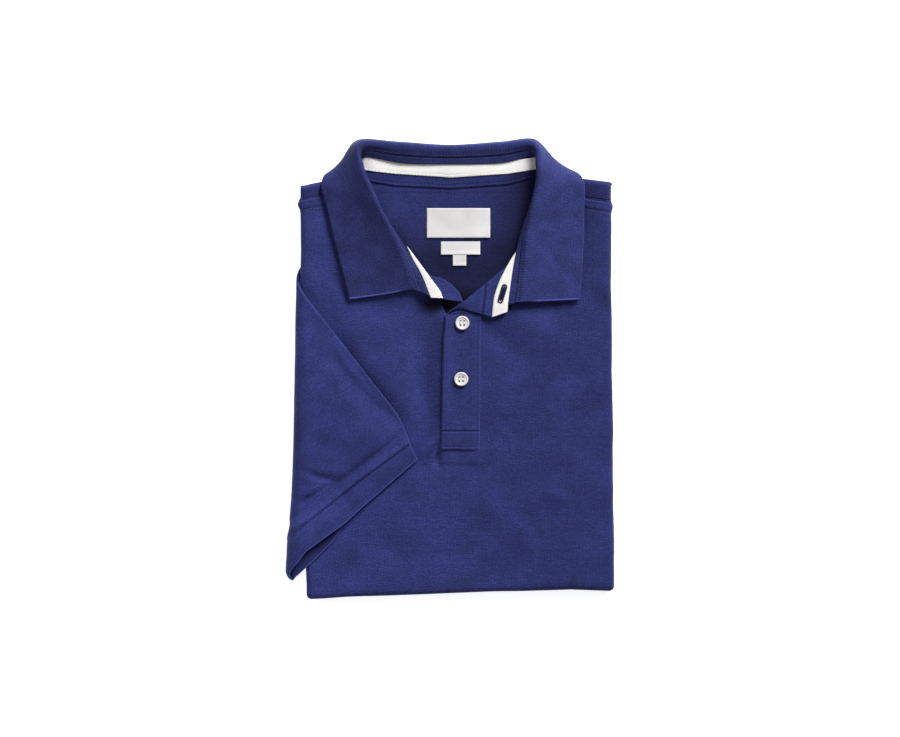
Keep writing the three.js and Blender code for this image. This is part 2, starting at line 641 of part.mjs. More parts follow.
// How far along the sleeve, at one place across it, the cloth reaches the body's edge.
function wrapStart(across) {
  let along = 0;
  for (let pass = 0; pass < 4; pass += 1) {
    const y = HEM_CORNER.y + across * ACROSS.y + along * ALONG.y;
    const centreX = readTable(SLEEVE_EDGE, 'y', y, 'x') + WRAP_RADIUS;
    along = Math.max(0, (centreX - HEM_CORNER.x - across * ACROSS.x) / ALONG.x);
  }
  return along;
}

function sleeveRows() {
  const rows = [];
  const counts = [8, 8, 2];
  counts.forEach((count, stretch) => {
    for (let row = 0; row < count; row += 1) {
      rows.push({ stretch, share: row / count });
    }
  });
  rows.push({ stretch: counts.length - 1, share: 1 });
  return rows;
}

function mouthShape(across) {
  const share = (across - MOUTH.at) / MOUTH.halfWidth;
  return Math.max(0, 1 - share * share);
}

function sleeve() {
  const layerColumns = 15;
  const foldRadius = (SLEEVE_RISE - SEAM_GAP) / 2;
  const middle = SEAM_GAP + foldRadius;
  const ring = [];
  for (let column = 0; column < layerColumns; column += 1) {
    const share = column / (layerColumns - 1);
    ring.push({ across: THREE.MathUtils.lerp(foldRadius, SLEEVE_WIDTH - foldRadius, share), turn: 1 });
  }
  ring.push({ across: SLEEVE_WIDTH, turn: 0 });
  for (let column = layerColumns - 1; column >= 0; column -= 1) {
    ring.push({ across: ring[column].across, turn: -1 });
  }
  ring.push({ across: 0, turn: 0 });
  const grid = [];
  for (const { stretch, share } of sleeveRows()) {
    grid.push(ring.map(({ across, turn }) => {
      const open = mouthShape(across);
      const start = turn < 0 ? -MOUTH.underlap * open : 0;
      const turnIn = Math.max(wrapStart(across), start + LEAST_FLAT);
      const stops = [start, turnIn, turnIn + WRAP_LENGTH, turnIn + WRAP_LENGTH + SLEEVE_TAIL];
      const along = THREE.MathUtils.lerp(stops[stretch], stops[stretch + 1], share);
      const lift = turn > 0 ? MOUTH.lift * open * Math.exp(-((along / MOUTH.reach) ** 2)) : 0;
      return sleevePoint(across, along, middle + turn * foldRadius + lift);
    }));
  }
  return clothFrom(grid, JERSEY, -1, true);
}

// The collar's section at one station: from the foot of the stand, over the roll, to the leaf edge.
function collarSection(share) {
  const row = smoothRow(COLLAR_STATIONS, share);
  const at = (x, y, rise) => new THREE.Vector3(x, y, Math.max(bodyTop(x, y) + rise, RIB / 2));
  const seam = at(row.seamX, row.seamY, row.seamRise);
  const crest = at(row.crestX, row.crestY, row.crestRise);
  const bend = at(row.bendX, row.bendY, row.bendRise);
  const edge = at(row.edgeX, row.edgeY, row.edgeRise);
  const outward = new THREE.Vector3(row.bendX - row.seamX, row.bendY - row.seamY, 0).normalize();
  const roll = (angle) => crest.clone()
    .addScaledVector(outward, -row.roll * Math.cos(angle))
    .add(new THREE.Vector3(0, 0, row.roll * (Math.sin(angle) - 1)));
  const rollStart = roll(0.35);
  const inner = [seam, seam.clone().lerp(rollStart, 0.5)];
  const over = [rollStart, roll(Math.PI * 0.3), roll(Math.PI * 0.5), roll(Math.PI * 0.72)];
  const leaf = new THREE.CatmullRomCurve3([over[3], bend, edge], false, 'centripetal');
  const leafPoints = [0.16, 0.33, 0.5, 0.68, 0.84, 1].map((t) => leaf.getPoint(t));
  return { inner, over, leafPoints, rollStart, seam };
}

function collar() {
  const grid = [];
  for (let row = 0; row < COLLAR_ROWS; row += 1) {
    const { seam, over, leafPoints, rollStart } = collarSection(row / (COLLAR_ROWS - 1));
    const join = rollStart.clone().lerp(seam, COLLAR_SHARE);
    grid.push([join, ...over, ...leafPoints]);
  }
  return clothFrom(grid, RIB, -1);
}

function collarStand() {
  const grid = [];
  for (let row = 0; row < COLLAR_ROWS; row += 1) {
    const { seam, rollStart } = collarSection(row / (COLLAR_ROWS - 1));
    const join = rollStart.clone().lerp(seam, COLLAR_SHARE);
    const gapShare = SEAM_GAP / join.distanceTo(seam);
    const start = join.clone().lerp(seam, gapShare);
    grid.push([0, 0.5, 1].map((share) => start.clone().lerp(seam, share)));
  }
  return clothFrom(grid, STAND, 1);
}

// A strip between two long edges, crowned a little across its width.
function laidStrip(edges, wall, rows, columns, crown) {
  const grid = gridOf(rows, columns, (u, v) => {
    const row = smoothRow(edges, v);
    const x = THREE.MathUtils.lerp(row.outX, row.inX, u);
    const y = THREE.MathUtils.lerp(row.outY, row.inY, u);
    const rise = THREE.MathUtils.lerp(row.outRise, row.inRise, u) + crown * Math.sin(Math.PI * u);
    return new THREE.Vector3(x, y, bodyTop(x, y) + rise);
  });
  return laidCloth(grid, wall);
}

function placketOver() {
  const low = PLACKET_STRIP[0].y;
  const grid = gridOf(14, 5, (u, v) => {
    const across = THREE.MathUtils.lerp(PLACKET_TOP[0].x, PLACKET_TOP.at(-1).x, u);
    const y = THREE.MathUtils.lerp(low, readTable(PLACKET_TOP, 'x', across, 'y'), v);
    const left = readTable(PLACKET_STRIP, 'y', y, 'left');
    const right = readTable(PLACKET_STRIP, 'y', y, 'right');
    const x = THREE.MathUtils.lerp(left, right, u);
    return new THREE.Vector3(x, y, bodyTop(x, y) + PLACKET_RISE);
  });
  return laidCloth(grid, PIQUE);
}

function backTape() {
  const grid = gridOf(13, 3, (u, v) => {
    const x = THREE.MathUtils.lerp(BACK_TAPE[0].x, BACK_TAPE.at(-1).x, v);
    const upper = readTable(BACK_TAPE, 'x', x, 'upper');
    const y = THREE.MathUtils.lerp(upper, readTable(BACK_TAPE, 'x', x, 'lower'), u);
    return new THREE.Vector3(x, y, backTop(x, y) + SEAM_GAP + TAPE);
  });
  return laidCloth(grid, TAPE);
}

function label({ left, right, low, high }) {
  const grid = gridOf(4, 6, (u, v) => {
    const x = THREE.MathUtils.lerp(left, right, u);
    const y = THREE.MathUtils.lerp(low, high, v);
    return new THREE.Vector3(x, y, backTop(x, y) + SEAM_GAP + LABEL);
  });
  return laidCloth(grid, LABEL);
}

// A four-hole button with a raised rim round a shallow dish.
function button() {
  const radius = BUTTON.diameter / 2;
  const bevel = 0.5;
  const dishRadius = radius - BUTTON.rim;
  const profile = [
    [0, 0], [radius - bevel, 0], [radius, bevel], [radius, BUTTON.height - bevel],
    [radius - bevel, BUTTON.height], [dishRadius, BUTTON.height],
    [dishRadius - BUTTON.dish, BUTTON.height - BUTTON.dish], [0, BUTTON.height - BUTTON.dish],
  ];
  const steps = 24;
  const positions = [0, 0, 0, 0, 0, BUTTON.height - BUTTON.dish];
  const rings = profile.slice(1, -1);
  for (const [ringRadius, z] of rings) {
    for (let step = 0; step < steps; step += 1) {
      const angle = (2 * Math.PI * step) / steps;
      positions.push(ringRadius * Math.cos(angle), ringRadius * Math.sin(angle), z);
    }
  }
  const faces = [];
  const place = (ring, step) => 2 + ring * steps + (step % steps);
  for (let step = 0; step < steps; step += 1) {
    faces.push(0, place(0, step + 1), place(0, step));
    faces.push(1, place(rings.length - 1, step), place(rings.length - 1, step + 1));
    for (let ring = 0; ring < rings.length - 1; ring += 1) {
      faces.push(place(ring, step), place(ring, step + 1), place(ring + 1, step + 1));
      faces.push(place(ring, step), place(ring + 1, step + 1), place(ring + 1, step));
    }
  }
  const disc = new THREE.BufferGeometry();
  disc.setAttribute('position', new THREE.Float32BufferAttribute(positions, 3));
  disc.setIndex(signedVolume(positions, faces) < 0 ? reversed(faces) : faces);
  let solid = toManifold(disc);
  const holeSides = 8;
  for (const [signX, signY] of [[-1, -1], [1, -1], [1, 1], [-1, 1]]) {
    const outline = [];
    for (let side = 0; side < holeSides; side += 1) {
      const angle = (2 * Math.PI * side) / holeSides;
      outline.push([
        (signX * BUTTON.holeSpread) / 2 + (BUTTON.hole / 2) * Math.cos(angle),
        (signY * BUTTON.holeSpread) / 2 + (BUTTON.hole / 2) * Math.sin(angle),
      ]);
    }
    solid = solid.subtract(toManifold(prism(outline, -1, BUTTON.height + 1)));
  }
  return fromManifold(solid);
}

const shirt = new THREE.Group();

function addPiece(name, geometry, finish) {
  const mesh = new THREE.Mesh(geometry, new THREE.MeshStandardMaterial(finish));
  mesh.name = name;
  shirt.add(mesh);
  return mesh;
}

addPiece('front_panel', frontPanel(), NAVY);
addPiece('back_panel', backPanel(), NAVY_DEEP);
addPiece('hidden_layers', hiddenLayers(), NAVY_DEEP);
addPiece('sleeve_right', sleeve(), NAVY);
addPiece('collar', collar(), NAVY_RIB);
addPiece('collar_stand', collarStand(), NAVY_RIB);
addPiece('neck_tape_back', backTape(), WHITE_TAPE);
addPiece('neck_tape_right', laidStrip(TAPE_RIGHT_EDGES, TAPE, 10, 3, 0.2), WHITE_TAPE);
addPiece('neck_tape_left', laidStrip(TAPE_LEFT_EDGES, TAPE, 10, 3, 0.2), WHITE_TAPE);
addPiece('placket_over', placketOver(), NAVY);
addPiece('placket_under', laidStrip(UNDER_EDGES, JERSEY, 10, 4, 0), NAVY);
addPiece('placket_turnback', laidStrip(TURNBACK_EDGES, JERSEY, 14, 5, 0.5), NAVY);
for (const place of LABELS) {
  addPiece(place.name, label(place), WHITE_LABEL);
}
for (const { name, x, y } of BUTTON_PLACES) {
  const mesh = addPiece(name, button(), PEARL);
  mesh.position.set(x, y, bodyTop(x, y) + PLACKET_RISE + SEAM_GAP);
}

const box = new THREE.Box3().setFromObject(shirt, true);
const centre = box.getCenter(new THREE.Vector3());
shirt.position.set(-centre.x, -centre.y, -box.min.z);

const part = new THREE.Group();
part.add(shirt);

export default part;
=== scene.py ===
import math

import bmesh
import bpy
import numpy as np
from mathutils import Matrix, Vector


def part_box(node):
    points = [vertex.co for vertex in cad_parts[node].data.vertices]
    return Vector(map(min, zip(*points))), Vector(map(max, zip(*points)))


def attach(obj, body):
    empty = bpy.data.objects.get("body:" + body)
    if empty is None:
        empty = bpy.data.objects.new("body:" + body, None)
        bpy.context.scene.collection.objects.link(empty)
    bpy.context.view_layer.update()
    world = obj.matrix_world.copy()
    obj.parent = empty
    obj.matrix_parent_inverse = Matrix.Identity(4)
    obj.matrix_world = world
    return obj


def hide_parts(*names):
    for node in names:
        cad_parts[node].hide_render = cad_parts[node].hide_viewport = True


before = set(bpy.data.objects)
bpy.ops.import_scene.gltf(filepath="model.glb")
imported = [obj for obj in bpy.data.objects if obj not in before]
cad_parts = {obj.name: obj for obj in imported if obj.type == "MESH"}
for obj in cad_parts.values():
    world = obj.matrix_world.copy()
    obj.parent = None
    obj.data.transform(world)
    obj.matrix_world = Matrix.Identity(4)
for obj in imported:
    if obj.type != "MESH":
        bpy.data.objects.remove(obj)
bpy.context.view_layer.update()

# Plan measures are in millimetres from the middle of the folded body, as the solids were drawn.
# Button 1 sits at a known plan place, and the body's underside is the lowest point.
MM = 0.001
BUTTON_PLACES = {"button_1": (5.0, 39.9), "button_2": (4.0, -8.3)}
low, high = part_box("button_1")
SHIFT = np.array([
    (low.x + high.x) / 2 / MM - BUTTON_PLACES["button_1"][0],
    (low.y + high.y) / 2 / MM - BUTTON_PLACES["button_1"][1],
    0.0,
])

# Cloth thicknesses, gaps and thread.
PIQUE = 1.4
JERSEY = 1.2
RIB = 1.6
STAND = 1.4
TAPE = 1.0
LABEL = 0.6
GAP = 0.4
THREAD = 0.42

# The folded stack.
STACK_HEIGHT = 22.0
STACK_CROWN = 2.4
CROWN_HALF_WIDTH = 134.0
CROWN_RUN = 70.0
EDGE_RADIUS = 4.2
SIDE_WRAP = 45.0
HEM_Y = 130.0
LOWER_INSET = 1.6
BACK_DROP = PIQUE + GAP
# A pressed fold is squarer than a round one: 2 would be round.
FOLD_SQUARENESS = 5

LEFT_EDGE = {"y": (-196, -160, -60, 165), "x": (-128.5, -130, -134, -134.5)}
RIGHT_EDGE = {"y": (-196, -50, 40, 100, 140, 165), "x": (136.0, 134.8, 133.6, 133.4, 133.4, 132.6)}
BOTTOM_FOLD = {"x": (-134, -69, 13, 96, 135), "y": (-197.7, -195.1, -192.1, -189.4, -190.9)}
SHOULDER_SEAM = {"x": (-135, -115, -60, 60, 110, 134), "y": (145.6, 149.2, 151.5, 151.5, 147.5, 143.4)}
TOP_FOLD = {
    "x": (-135, -133.6, -132, -126, -114, 0, 107, 129, 131.4, 134),
    "y": (153, 156, 158.2, 159.8, 162.2, 164, 164.5, 161.8, 160, 154),
}
SHOULDER_SHARE = {"x": (-96, -80, 72, 90), "share": (1, 0, 0, 1)}
BACK_NECK_Y = 171.0
BACK_LOW_END = -150.0
BACK_EDGE_ROOM = 5.0
YOKE_TUCK = 5.0
YOKE_STEP = 0.9
NECK_HOLLOW = {"x": -4.0, "y": 112.0, "half": 62.0, "depth": 3.0}
NECK_OPENING = [
    (-87, 180), (-80, 163), (-70, 134), (-56, 111), (-46, 101), (-30.5, 84), (-25, 76),
    (-19, 66), (-12.5, 58), (-10.5, 50.5), (-8, 47.4), (-3, 49), (6.5, 51), (11.5, 56), (26, 68), (42, 82),
    (55.5, 99), (61, 111), (67, 132), (73, 154), (76, 180),
]

# Collar stations, from the wearer's right front point round the back to the left front point.
STATION_COLUMNS = (
    "crest_x", "crest_y", "crest_rise", "roll", "seam_x", "seam_y", "seam_rise",
    "bend_x", "bend_y", "bend_rise", "edge_x", "edge_y", "edge_rise",
)
COLLAR_STATIONS = [
    (-37.5, 68.2, 6.0, 1.8, -23.6, 63.4, 5.0, -60, 64.5, 4.2, -92, 59.8, 2.7),
    (-43.5, 87.3, 7.8, 2.0, -31.6, 82.4, 4.6, -67, 88, 4.8, -98.9, 87.3, 2.7),
    (-52.5, 110.5, 10, 2.4, -44.6, 106, 3.2, -75.5, 112, 5.4, -105.3, 111.4, 2.7),
    (-65.6, 135.4, 12.4, 3.0, -61.5, 133, 1.2, -86, 139, 6.4, -111.8, 139.8, 2.9),
    (-76, 158, 13.6, 3.4, -72.2, 157, 0.6, -96, 161, 6.6, -116.2, 158.5, 3.2),
    (-82.5, 175, 12.8, 3.6, -80, 173, 0.2, -97, 179, 1.0, -110, 170.5, -7.5),
    (-81.8, 192.4, 9.8, 3.8, -80, 182.6, 1.2, -86.5, 196.4, -11, -85, 172, -21),
    (-48.6, 191.2, 6.4, 4.2, -46, 177.2, 2.6, -50, 194.6, -15, -48, 165, -22.3),
    (-5.6, 188.6, 5.8, 4.2, -5.6, 176.4, 2.6, -5.6, 191.8, -15, -5.6, 163, -22.6),
    (37.4, 191.2, 6.4, 4.2, 38, 177.6, 2.6, 39, 194.6, -15, 38, 165, -22.3),
    (65.4, 193.2, 9.6, 3.8, 65, 183, 1.2, 69, 196.8, -11, 72, 172, -21),
    (71, 175.6, 12.8, 3.6, 69, 174, 0.2, 83.5, 179.6, 1.0, 99, 172, -7.5),
    (71, 160, 13.6, 3.4, 67.4, 159, 0.6, 91, 163, 6.6, 109.6, 161.2, 3.2),
    (66.4, 141.5, 12.6, 3.0, 62.4, 140, 1.2, 87, 141.5, 6.4, 109.8, 139.8, 2.9),
    (61, 115.7, 10.4, 2.4, 53.6, 112, 3.2, 84, 114, 5.4, 109.2, 111.4, 2.7),
    (58.4, 87.3, 8.6, 2.0, 48.6, 86.4, 5.2, 81, 86.5, 4.8, 107.8, 85.6, 2.7),
    (55.2, 57.5, 7.2, 1.8, 44.6, 56, 5.9, 79, 58.5, 4.2, 105.8, 59.8, 2.7),
]
COLLAR_ROWS = 220
COLLAR_SHARE = 0.42

# The sleeve.
HEM_CORNER = np.array([-33.0, -77.0])
ACROSS = np.array([-0.771, -0.637])
ALONG = np.array([-0.616, 0.788])
SLEEVE_WIDTH = 149.0
SLEEVE_TAIL = 26.0
LEAST_FLAT = 4.0
SLEEVE_ROOM = 1.0
SLEEVE_RISE = GAP + JERSEY + SLEEVE_ROOM + JERSEY
SLEEVE_FOLD = (SLEEVE_RISE - GAP) / 2
WRAP_RADIUS = 8.3
WRAP_LENGTH = math.pi * WRAP_RADIUS / -ALONG[0]
SLEEVE_EDGE = {
    "y": (-176, -160, -148, -138, -69, 17, 120),
    "x": (-146.2, -143.2, -143, -142.3, -140, -138.4, -137.8),
}
MOUTH = {"at": 114.0, "half": 42.0, "reach": 28.0, "lift": 5.0}
UNDER_ROOM = 0.5
# Where the hem edge of the upper and the under layer lies, and the hem's stitch line above it.
UPPER_HEM = {"across": (0, 60, 84, 105, 123, 142, 152), "along": (0, -1.5, -2.6, -1.2, 0, -5, -9.4)}
UNDER_HEM = {
    "across": (0, 78, 84, 101, 117, 134, 141, 147, 152),
    "along": (2, 0, -2.8, -7.8, -9.6, -10.8, -11.2, -11.0, -10.4),
}
HEM_STITCHES = {"across": (0, 50, 115, 149), "along": (14.0, 17.0, 18.6, 18.6)}

# Placket and neck strips. Edges are outer x, y, inner x, y, then the outer and the inner rise.
PLACKET_FOOT = -69.0
PLACKET_STRIP = {
    "y": (PLACKET_FOOT, -20, 25, 46), "left": (-13.4, -12.4, -11.2, -9.2), "right": (19.4, 20, 20.2, 21),
}
PLACKET_TOP = {"x": (-10, -3, 4, 12.5, 21.5), "y": (45.2, 49.6, 51.2, 49, 46.3)}
PLACKET_RISE = GAP + PIQUE
TURNBACK_EDGES = [
    (-8.4, 46.8, -8.6, 47.9, 2.6, 2.8), (-3, 50.4, -3.6, 52.2, 3.0, 3.8),
    (4, 52, 2.4, 56.1, 3.4, 4.8), (12.6, 49.8, 10, 61.6, 3.8, 4.8),
    (22, 47.1, 23.6, 72.8, 4.0, 4.0), (31.6, 44.6, 33, 80.4, 3.8, 3.0),
    (44.6, 50.6, 45.4, 91, 3.4, 2.5),
]
UNDER_EDGES = [
    (-31.2, 85.4, -27.2, 86.6, 2.0, 2.0), (-27.2, 79, -21.6, 80.9, 2.2, 2.2),
    (-22.8, 73, -12.4, 78.4, 2.6, 2.4), (-18.4, 67, -3.8, 72.7, 3.4, 3.0),
    (-14.6, 61.8, 3, 64.9, 4.2, 3.4), (-10.4, 60.4, 5.5, 57.8, 4.6, 3.6),
]
TAPE_RIGHT_EDGES = [
    (-42.6, 105.8, -41.4, 104.8, 2.2, 2.2), (-37.6, 95, -34.4, 95.4, 2.9, 2.8),
    (-31.6, 84.4, -27, 85.2, 3.6, 3.6), (-27.6, 75.6, -21.4, 77.6, 3.9, 3.9),
    (-24.4, 67, -14.2, 67.6, 4.4, 4.9), (-22.2, 61.6, -11.6, 61.2, 4.9, 5.6),
]
TAPE_LEFT_EDGES = [
    (53.2, 103.4, 52.6, 102.6, 3.4, 3.4), (50.8, 95.9, 47.6, 95.6, 4.0, 4.0),
    (49.2, 83.9, 40.5, 83, 4.6, 4.4), (47.6, 71.8, 36, 73, 4.9, 4.7),
    (45, 61.5, 32.3, 61, 5.1, 4.9), (43.2, 49.4, 30.6, 45, 5.1, 4.9),
]
BACK_TAPE = {
    "x": (-84, -70, -52, -4, 44, 58, 71), "upper": (185, 181.4, 178.4, 176.2, 178.8, 180.8, 182.6),
    "lower": (172, 170, 168.1, 164.9, 168.1, 170.4, 172.8),
}
NECK_BAND = {"x": (-76, -52, -4, 44, 68), "y": (161.6, 157.8, 155.6, 158.9, 165)}
LABELS = {
    "label_main": (-25.4, 28.8, 113.4, 138.6),
    "label_size": (-13.3, 20.2, 98.9, 109.9),
    "label_fibre": (-3.0, 8.2, 89.4, 98.4),
}
TURNED_HOLE = {"centre": (39.4, 65.0), "direction": (4.8, 16.0, 0), "rise": 5.4}

# Creases of the folded front: from x, y to x, y, half width and height in millimetres.
CREASES = [
    (-25.5, 80, -22.5, -62, 8.5, -3.2),
    (-5, 52, -5, -66, 8.0, 1.1),
    (-40, 66, -36, -20, 18.0, -1.0),
    (-56, 50, -50, -26, 13.0, 1.2),
    (-3, 61, -9, 47, 4.5, -3.2),
    (-10, 60, -26, 40, 7.0, -1.6),
    (-14, -58, -33, -78, 3.4, 1.3),
    (-12, -72, -31, -92, 5.0, -1.2),
    (-16.6, -58, -15.4, -86, 2.6, -1.8),
    (18, -80, 21, -155, 7.0, -0.45),
    (31, -84, 36, -140, 9.0, 0.8),
    (54, -130, 64, -160, 4.5, 0.55),
    (62, -124, 76, -152, 5.0, -0.65),
    (76, -104, 98, -112, 4.5, 0.8),
    (-113, 152, -96, 60, 11.0, -0.8),
    (109, 154, 108, 60, 12.0, -2.6),
    (-116, 47, -38, -57, 10.0, -4.2),
    (-104, 44, -26, -52, 13.0, 1.2),
    (-96, -186, -84, -142, 8.0, 1.0),
    (-58, -188, -54, -150, 9.0, -0.9),
    (100, -182, 92, -140, 10.0, 0.9),
    (40, 58, 96, 22, 14.0, 1.4),
    (24, 44, 62, 4, 11.0, -1.4),
    (126, -20, 100, -70, 10.0, -1.1),
    (128, 40, 116, -20, 8.0, 0.9),
    (-108, 84, -92, 62, 5.0, -1.4),
    (-126, 92, -120, 60, 5.0, 0.9),
    (-96, 60, -30, 52, 8.0, -0.8),
    (48, 56, 104, 52, 8.0, -1.0),
]
# Below the first depth a trough of the front is held back, by at most the second below that.
HELD_BACK = 1.5
DEEPEST = 1.4
# The back panel never sinks further than this below the body's top.
LOWEST_BACK = 3.2
# Soft folds of the back panel inside the neck, and creases of the sleeve, in the same terms.
NECK_CREASES = [
    (44, 158, 20, 96, 9.0, -1.6),
    (30, 128, 6, 80, 7.0, 0.9),
    (-52, 140, -28, 90, 8.0, 0.7),
    (-30, 100, 2, 74, 8.0, -1.2),
]
SLEEVE_CREASES = [
    (-137, -117.0, -106, -99, 4.2, -4.6),
    (-134, -87.0, -99, -95, 3.2, -2.0),
    (-136, -99, -108, -95, 5.0, -1.2),
    (-136, -126, -96, -98, 7.0, -1.8),
    (-92, -92, -50, -60, 6.0, -1.2),
    (-130, -60, -100, -66, 7.0, -0.9),
    (-126, -14, -94, -32, 9.0, 1.0),
    (-132, 24, -104, 4, 7.0, -1.0),
    (-84, -34, -62, -54, 8.0, -0.9),
    (-116, 38, -50, -40, 4.5, 1.3),
    (-110, 14, -62, -50, 8.0, -1.1),
]


# Curves and surfaces.
def smoothstep(value, start, end):
    t = np.clip((np.asarray(value, float) - start) / (end - start), 0, 1)
    return t * t * (3 - 2 * t)


def bell(offset, width):
    return np.exp(-((offset / width) ** 2))


def read(table, key, column, at):
    return np.interp(at, table[key], table[column])


def left_edge(y):
    return read(LEFT_EDGE, "y", "x", y)


def right_edge(y):
    return read(RIGHT_EDGE, "y", "x", y)


def fold_line(x):
    """Where the face turns into the bottom fold."""
    return read(BOTTOM_FOLD, "x", "y", x) + STACK_HEIGHT / 2


def seam_line(x):
    return read(SHOULDER_SEAM, "x", "y", x)


def body_top(x, y):
    across = 1 - np.minimum((x / CROWN_HALF_WIDTH) ** 2, 1)
    return STACK_HEIGHT + STACK_CROWN * across * smoothstep(y - fold_line(x), 0, CROWN_RUN)


def soft_noise(x, y, scale, seed):
    """Smooth noise from a seeded lattice, about -1 to 1, with features of the given size."""
    size = 64
    lattice = np.random.default_rng(seed).uniform(-1, 1, (size, size))
    u = np.asarray(x, float) / scale + 500.0
    v = np.asarray(y, float) / scale + 500.0
    i, j = np.floor(u).astype(int), np.floor(v).astype(int)
    s, t = smoothstep(u - i, 0, 1), smoothstep(v - j, 0, 1)
    corner = lambda a, b: lattice[(i + a) % size, (j + b) % size]
    near = corner(0, 0) * (1 - s) + corner(1, 0) * s
    far = corner(0, 1) * (1 - s) + corner(1, 1) * s
    return near * (1 - t) + far * t


def crease_field(x, y, creases):
    """Soft troughs and ridges along short lines, strongest at the middle of each."""
    total = np.zeros_like(x, float)
    for x0, y0, x1, y1, width, height in creases:
        dx, dy = x1 - x0, y1 - y0
        length = math.hypot(dx, dy)
        along = ((x - x0) * dx + (y - y0) * dy) / length
        off = ((x - x0) * dy - (y - y0) * dx) / length
        bow = 0.05 * length * np.sin(np.pi * np.clip(along / length, 0, 1))
        ends = smoothstep(along, -width, 0.35 * length)
        ends = ends * (1 - smoothstep(along, 0.65 * length, length + width))
        total += height * ends * bell(off - bow, width)
    return total


def front_relief(x, y):
    """The front's creases, unevenness, shoulder seam band and the end of the strip below the placket."""
    calm = smoothstep(y - fold_line(x), 2, 30)
    soft = 1.1 * soft_noise(x, y * 0.7, 56, 3) + 0.27 * soft_noise(x, y, 23, 5)
    soft += 0.08 * soft_noise(x, y, 7, 9)
    drop = seam_line(x) - y
    seam = 0.45 * (smoothstep(drop, 0.4, 1.8) - smoothstep(drop, 6.4, 8.8))
    seam -= 0.38 * bell(drop - 0.4, 0.7) + 0.3 * bell(drop - 8.8, 0.8)
    under_end = smoothstep(x, -14.5, -12.5) * (1 - smoothstep(x, 18.8, 20.8))
    under_end *= smoothstep(y, -82.5, -80) * (1 - smoothstep(y, -70, -66))
    edge_rise = 2.0 * smoothstep(np.abs(x), 108, 128) * smoothstep(y, 50, 75)
    folds = calm * (crease_field(x, y, CREASES) + soft + edge_rise)
    held = -HELD_BACK - DEEPEST * np.tanh((-HELD_BACK - folds) / DEEPEST)
    return np.where(folds < -HELD_BACK, held, folds) + seam + 0.9 * under_end


def surface(x, y):
    return body_top(x, y) + front_relief(x, y)


def back_top(x, y):
    dx = (x - NECK_HOLLOW["x"]) / NECK_HOLLOW["half"]
    dy = (y - NECK_HOLLOW["y"]) / NECK_HOLLOW["half"]
    hollow = np.maximum(0, 1 - dx * dx - dy * dy)
    rise = smoothstep(y, 150, BACK_NECK_Y)
    return body_top(x, y) - BACK_DROP - NECK_HOLLOW["depth"] * hollow ** 1.5 + rise


def back_surface(x, y):
    """The back panel's inner face, with its neck band and soft unevenness."""
    neck = smoothstep(x, -84, -70) * (1 - smoothstep(x, 60, 74)) * smoothstep(y, 60, 90)
    above = y - read(NECK_BAND, "x", "y", x)
    band = 0.9 * smoothstep(above, -0.5, 0.5) - 0.42 * bell(above + 0.9, 0.8)
    band -= 0.35 * bell(above - 2.6, 0.7)
    soft = 0.6 * soft_noise(x, y, 30, 21) + 0.2 * soft_noise(x, y, 11, 22)
    soft += crease_field(x, y, NECK_CREASES)
    room = np.maximum(surface(x, y) - PIQUE - GAP, body_top(x, y) - LOWEST_BACK)
    height = back_top(x, y) + neck * (band + soft)
    covered = (y < 60) | (np.abs(x) > 80) | ((y < 96) & (x < -14 - 0.7 * (y - 58)))
    return np.where(covered, np.minimum(height, room), height)


def summed(steps):
    return np.concatenate([[0], np.cumsum(steps)])


def distances(path):
    """How far along a path each of its points lies."""
    return summed(np.linalg.norm(np.diff(path, axis=0), axis=1))


def places_on(path, at):
    """Points of a path at the given distances along it."""
    reach = distances(path)
    return np.stack([np.interp(at, reach, column) for column in path.T], axis=1)


def unit(vectors):
    return vectors / np.maximum(np.linalg.norm(vectors, axis=-1, keepdims=True), 1e-9)


def upright(places):
    normals = np.zeros_like(places)
    normals[..., 2] = 1
    return normals


# Meshes.
def to_row(points):
    return (np.asarray(points, float) + SHIFT) * MM


def grid_normals(grid, closed=False):
    across = np.gradient(grid, axis=1)
    if closed:
        across = np.roll(grid, -1, axis=1) - np.roll(grid, 1, axis=1)
    return unit(np.cross(across, np.gradient(grid, axis=0)))


def mesh_object(name, vertices, faces, cloth=None):
    mesh = bpy.data.meshes.new(name)
    mesh.from_pydata(to_row(vertices).tolist(), [], [list(map(int, face)) for face in faces])
    if cloth is not None:
        attribute = mesh.attributes.new("cloth", "FLOAT_VECTOR", "POINT")
        attribute.data.foreach_set("vector", np.asarray(cloth, np.float32).ravel())
    mesh.polygons.foreach_set("use_smooth", [True] * len(mesh.polygons))
    mesh.update()
    obj = bpy.data.objects.new(name, mesh)
    bpy.context.scene.collection.objects.link(obj)
    return obj


# The third thread coordinate tells the faces apart: on the outer face it carries painted highlight beside an
# edge up to RIM and painted shade below 0, then the rim itself, painted pale as a highlight, and INNER on the
# inner face.
RIM = 2.6
RIM_START = 0.7
INNER = 7.0
RIM_BULGE = 0.34
# How far the painted highlight beside an edge carries on to the inner face.
HIGHLIGHT_THROUGH = 2.4


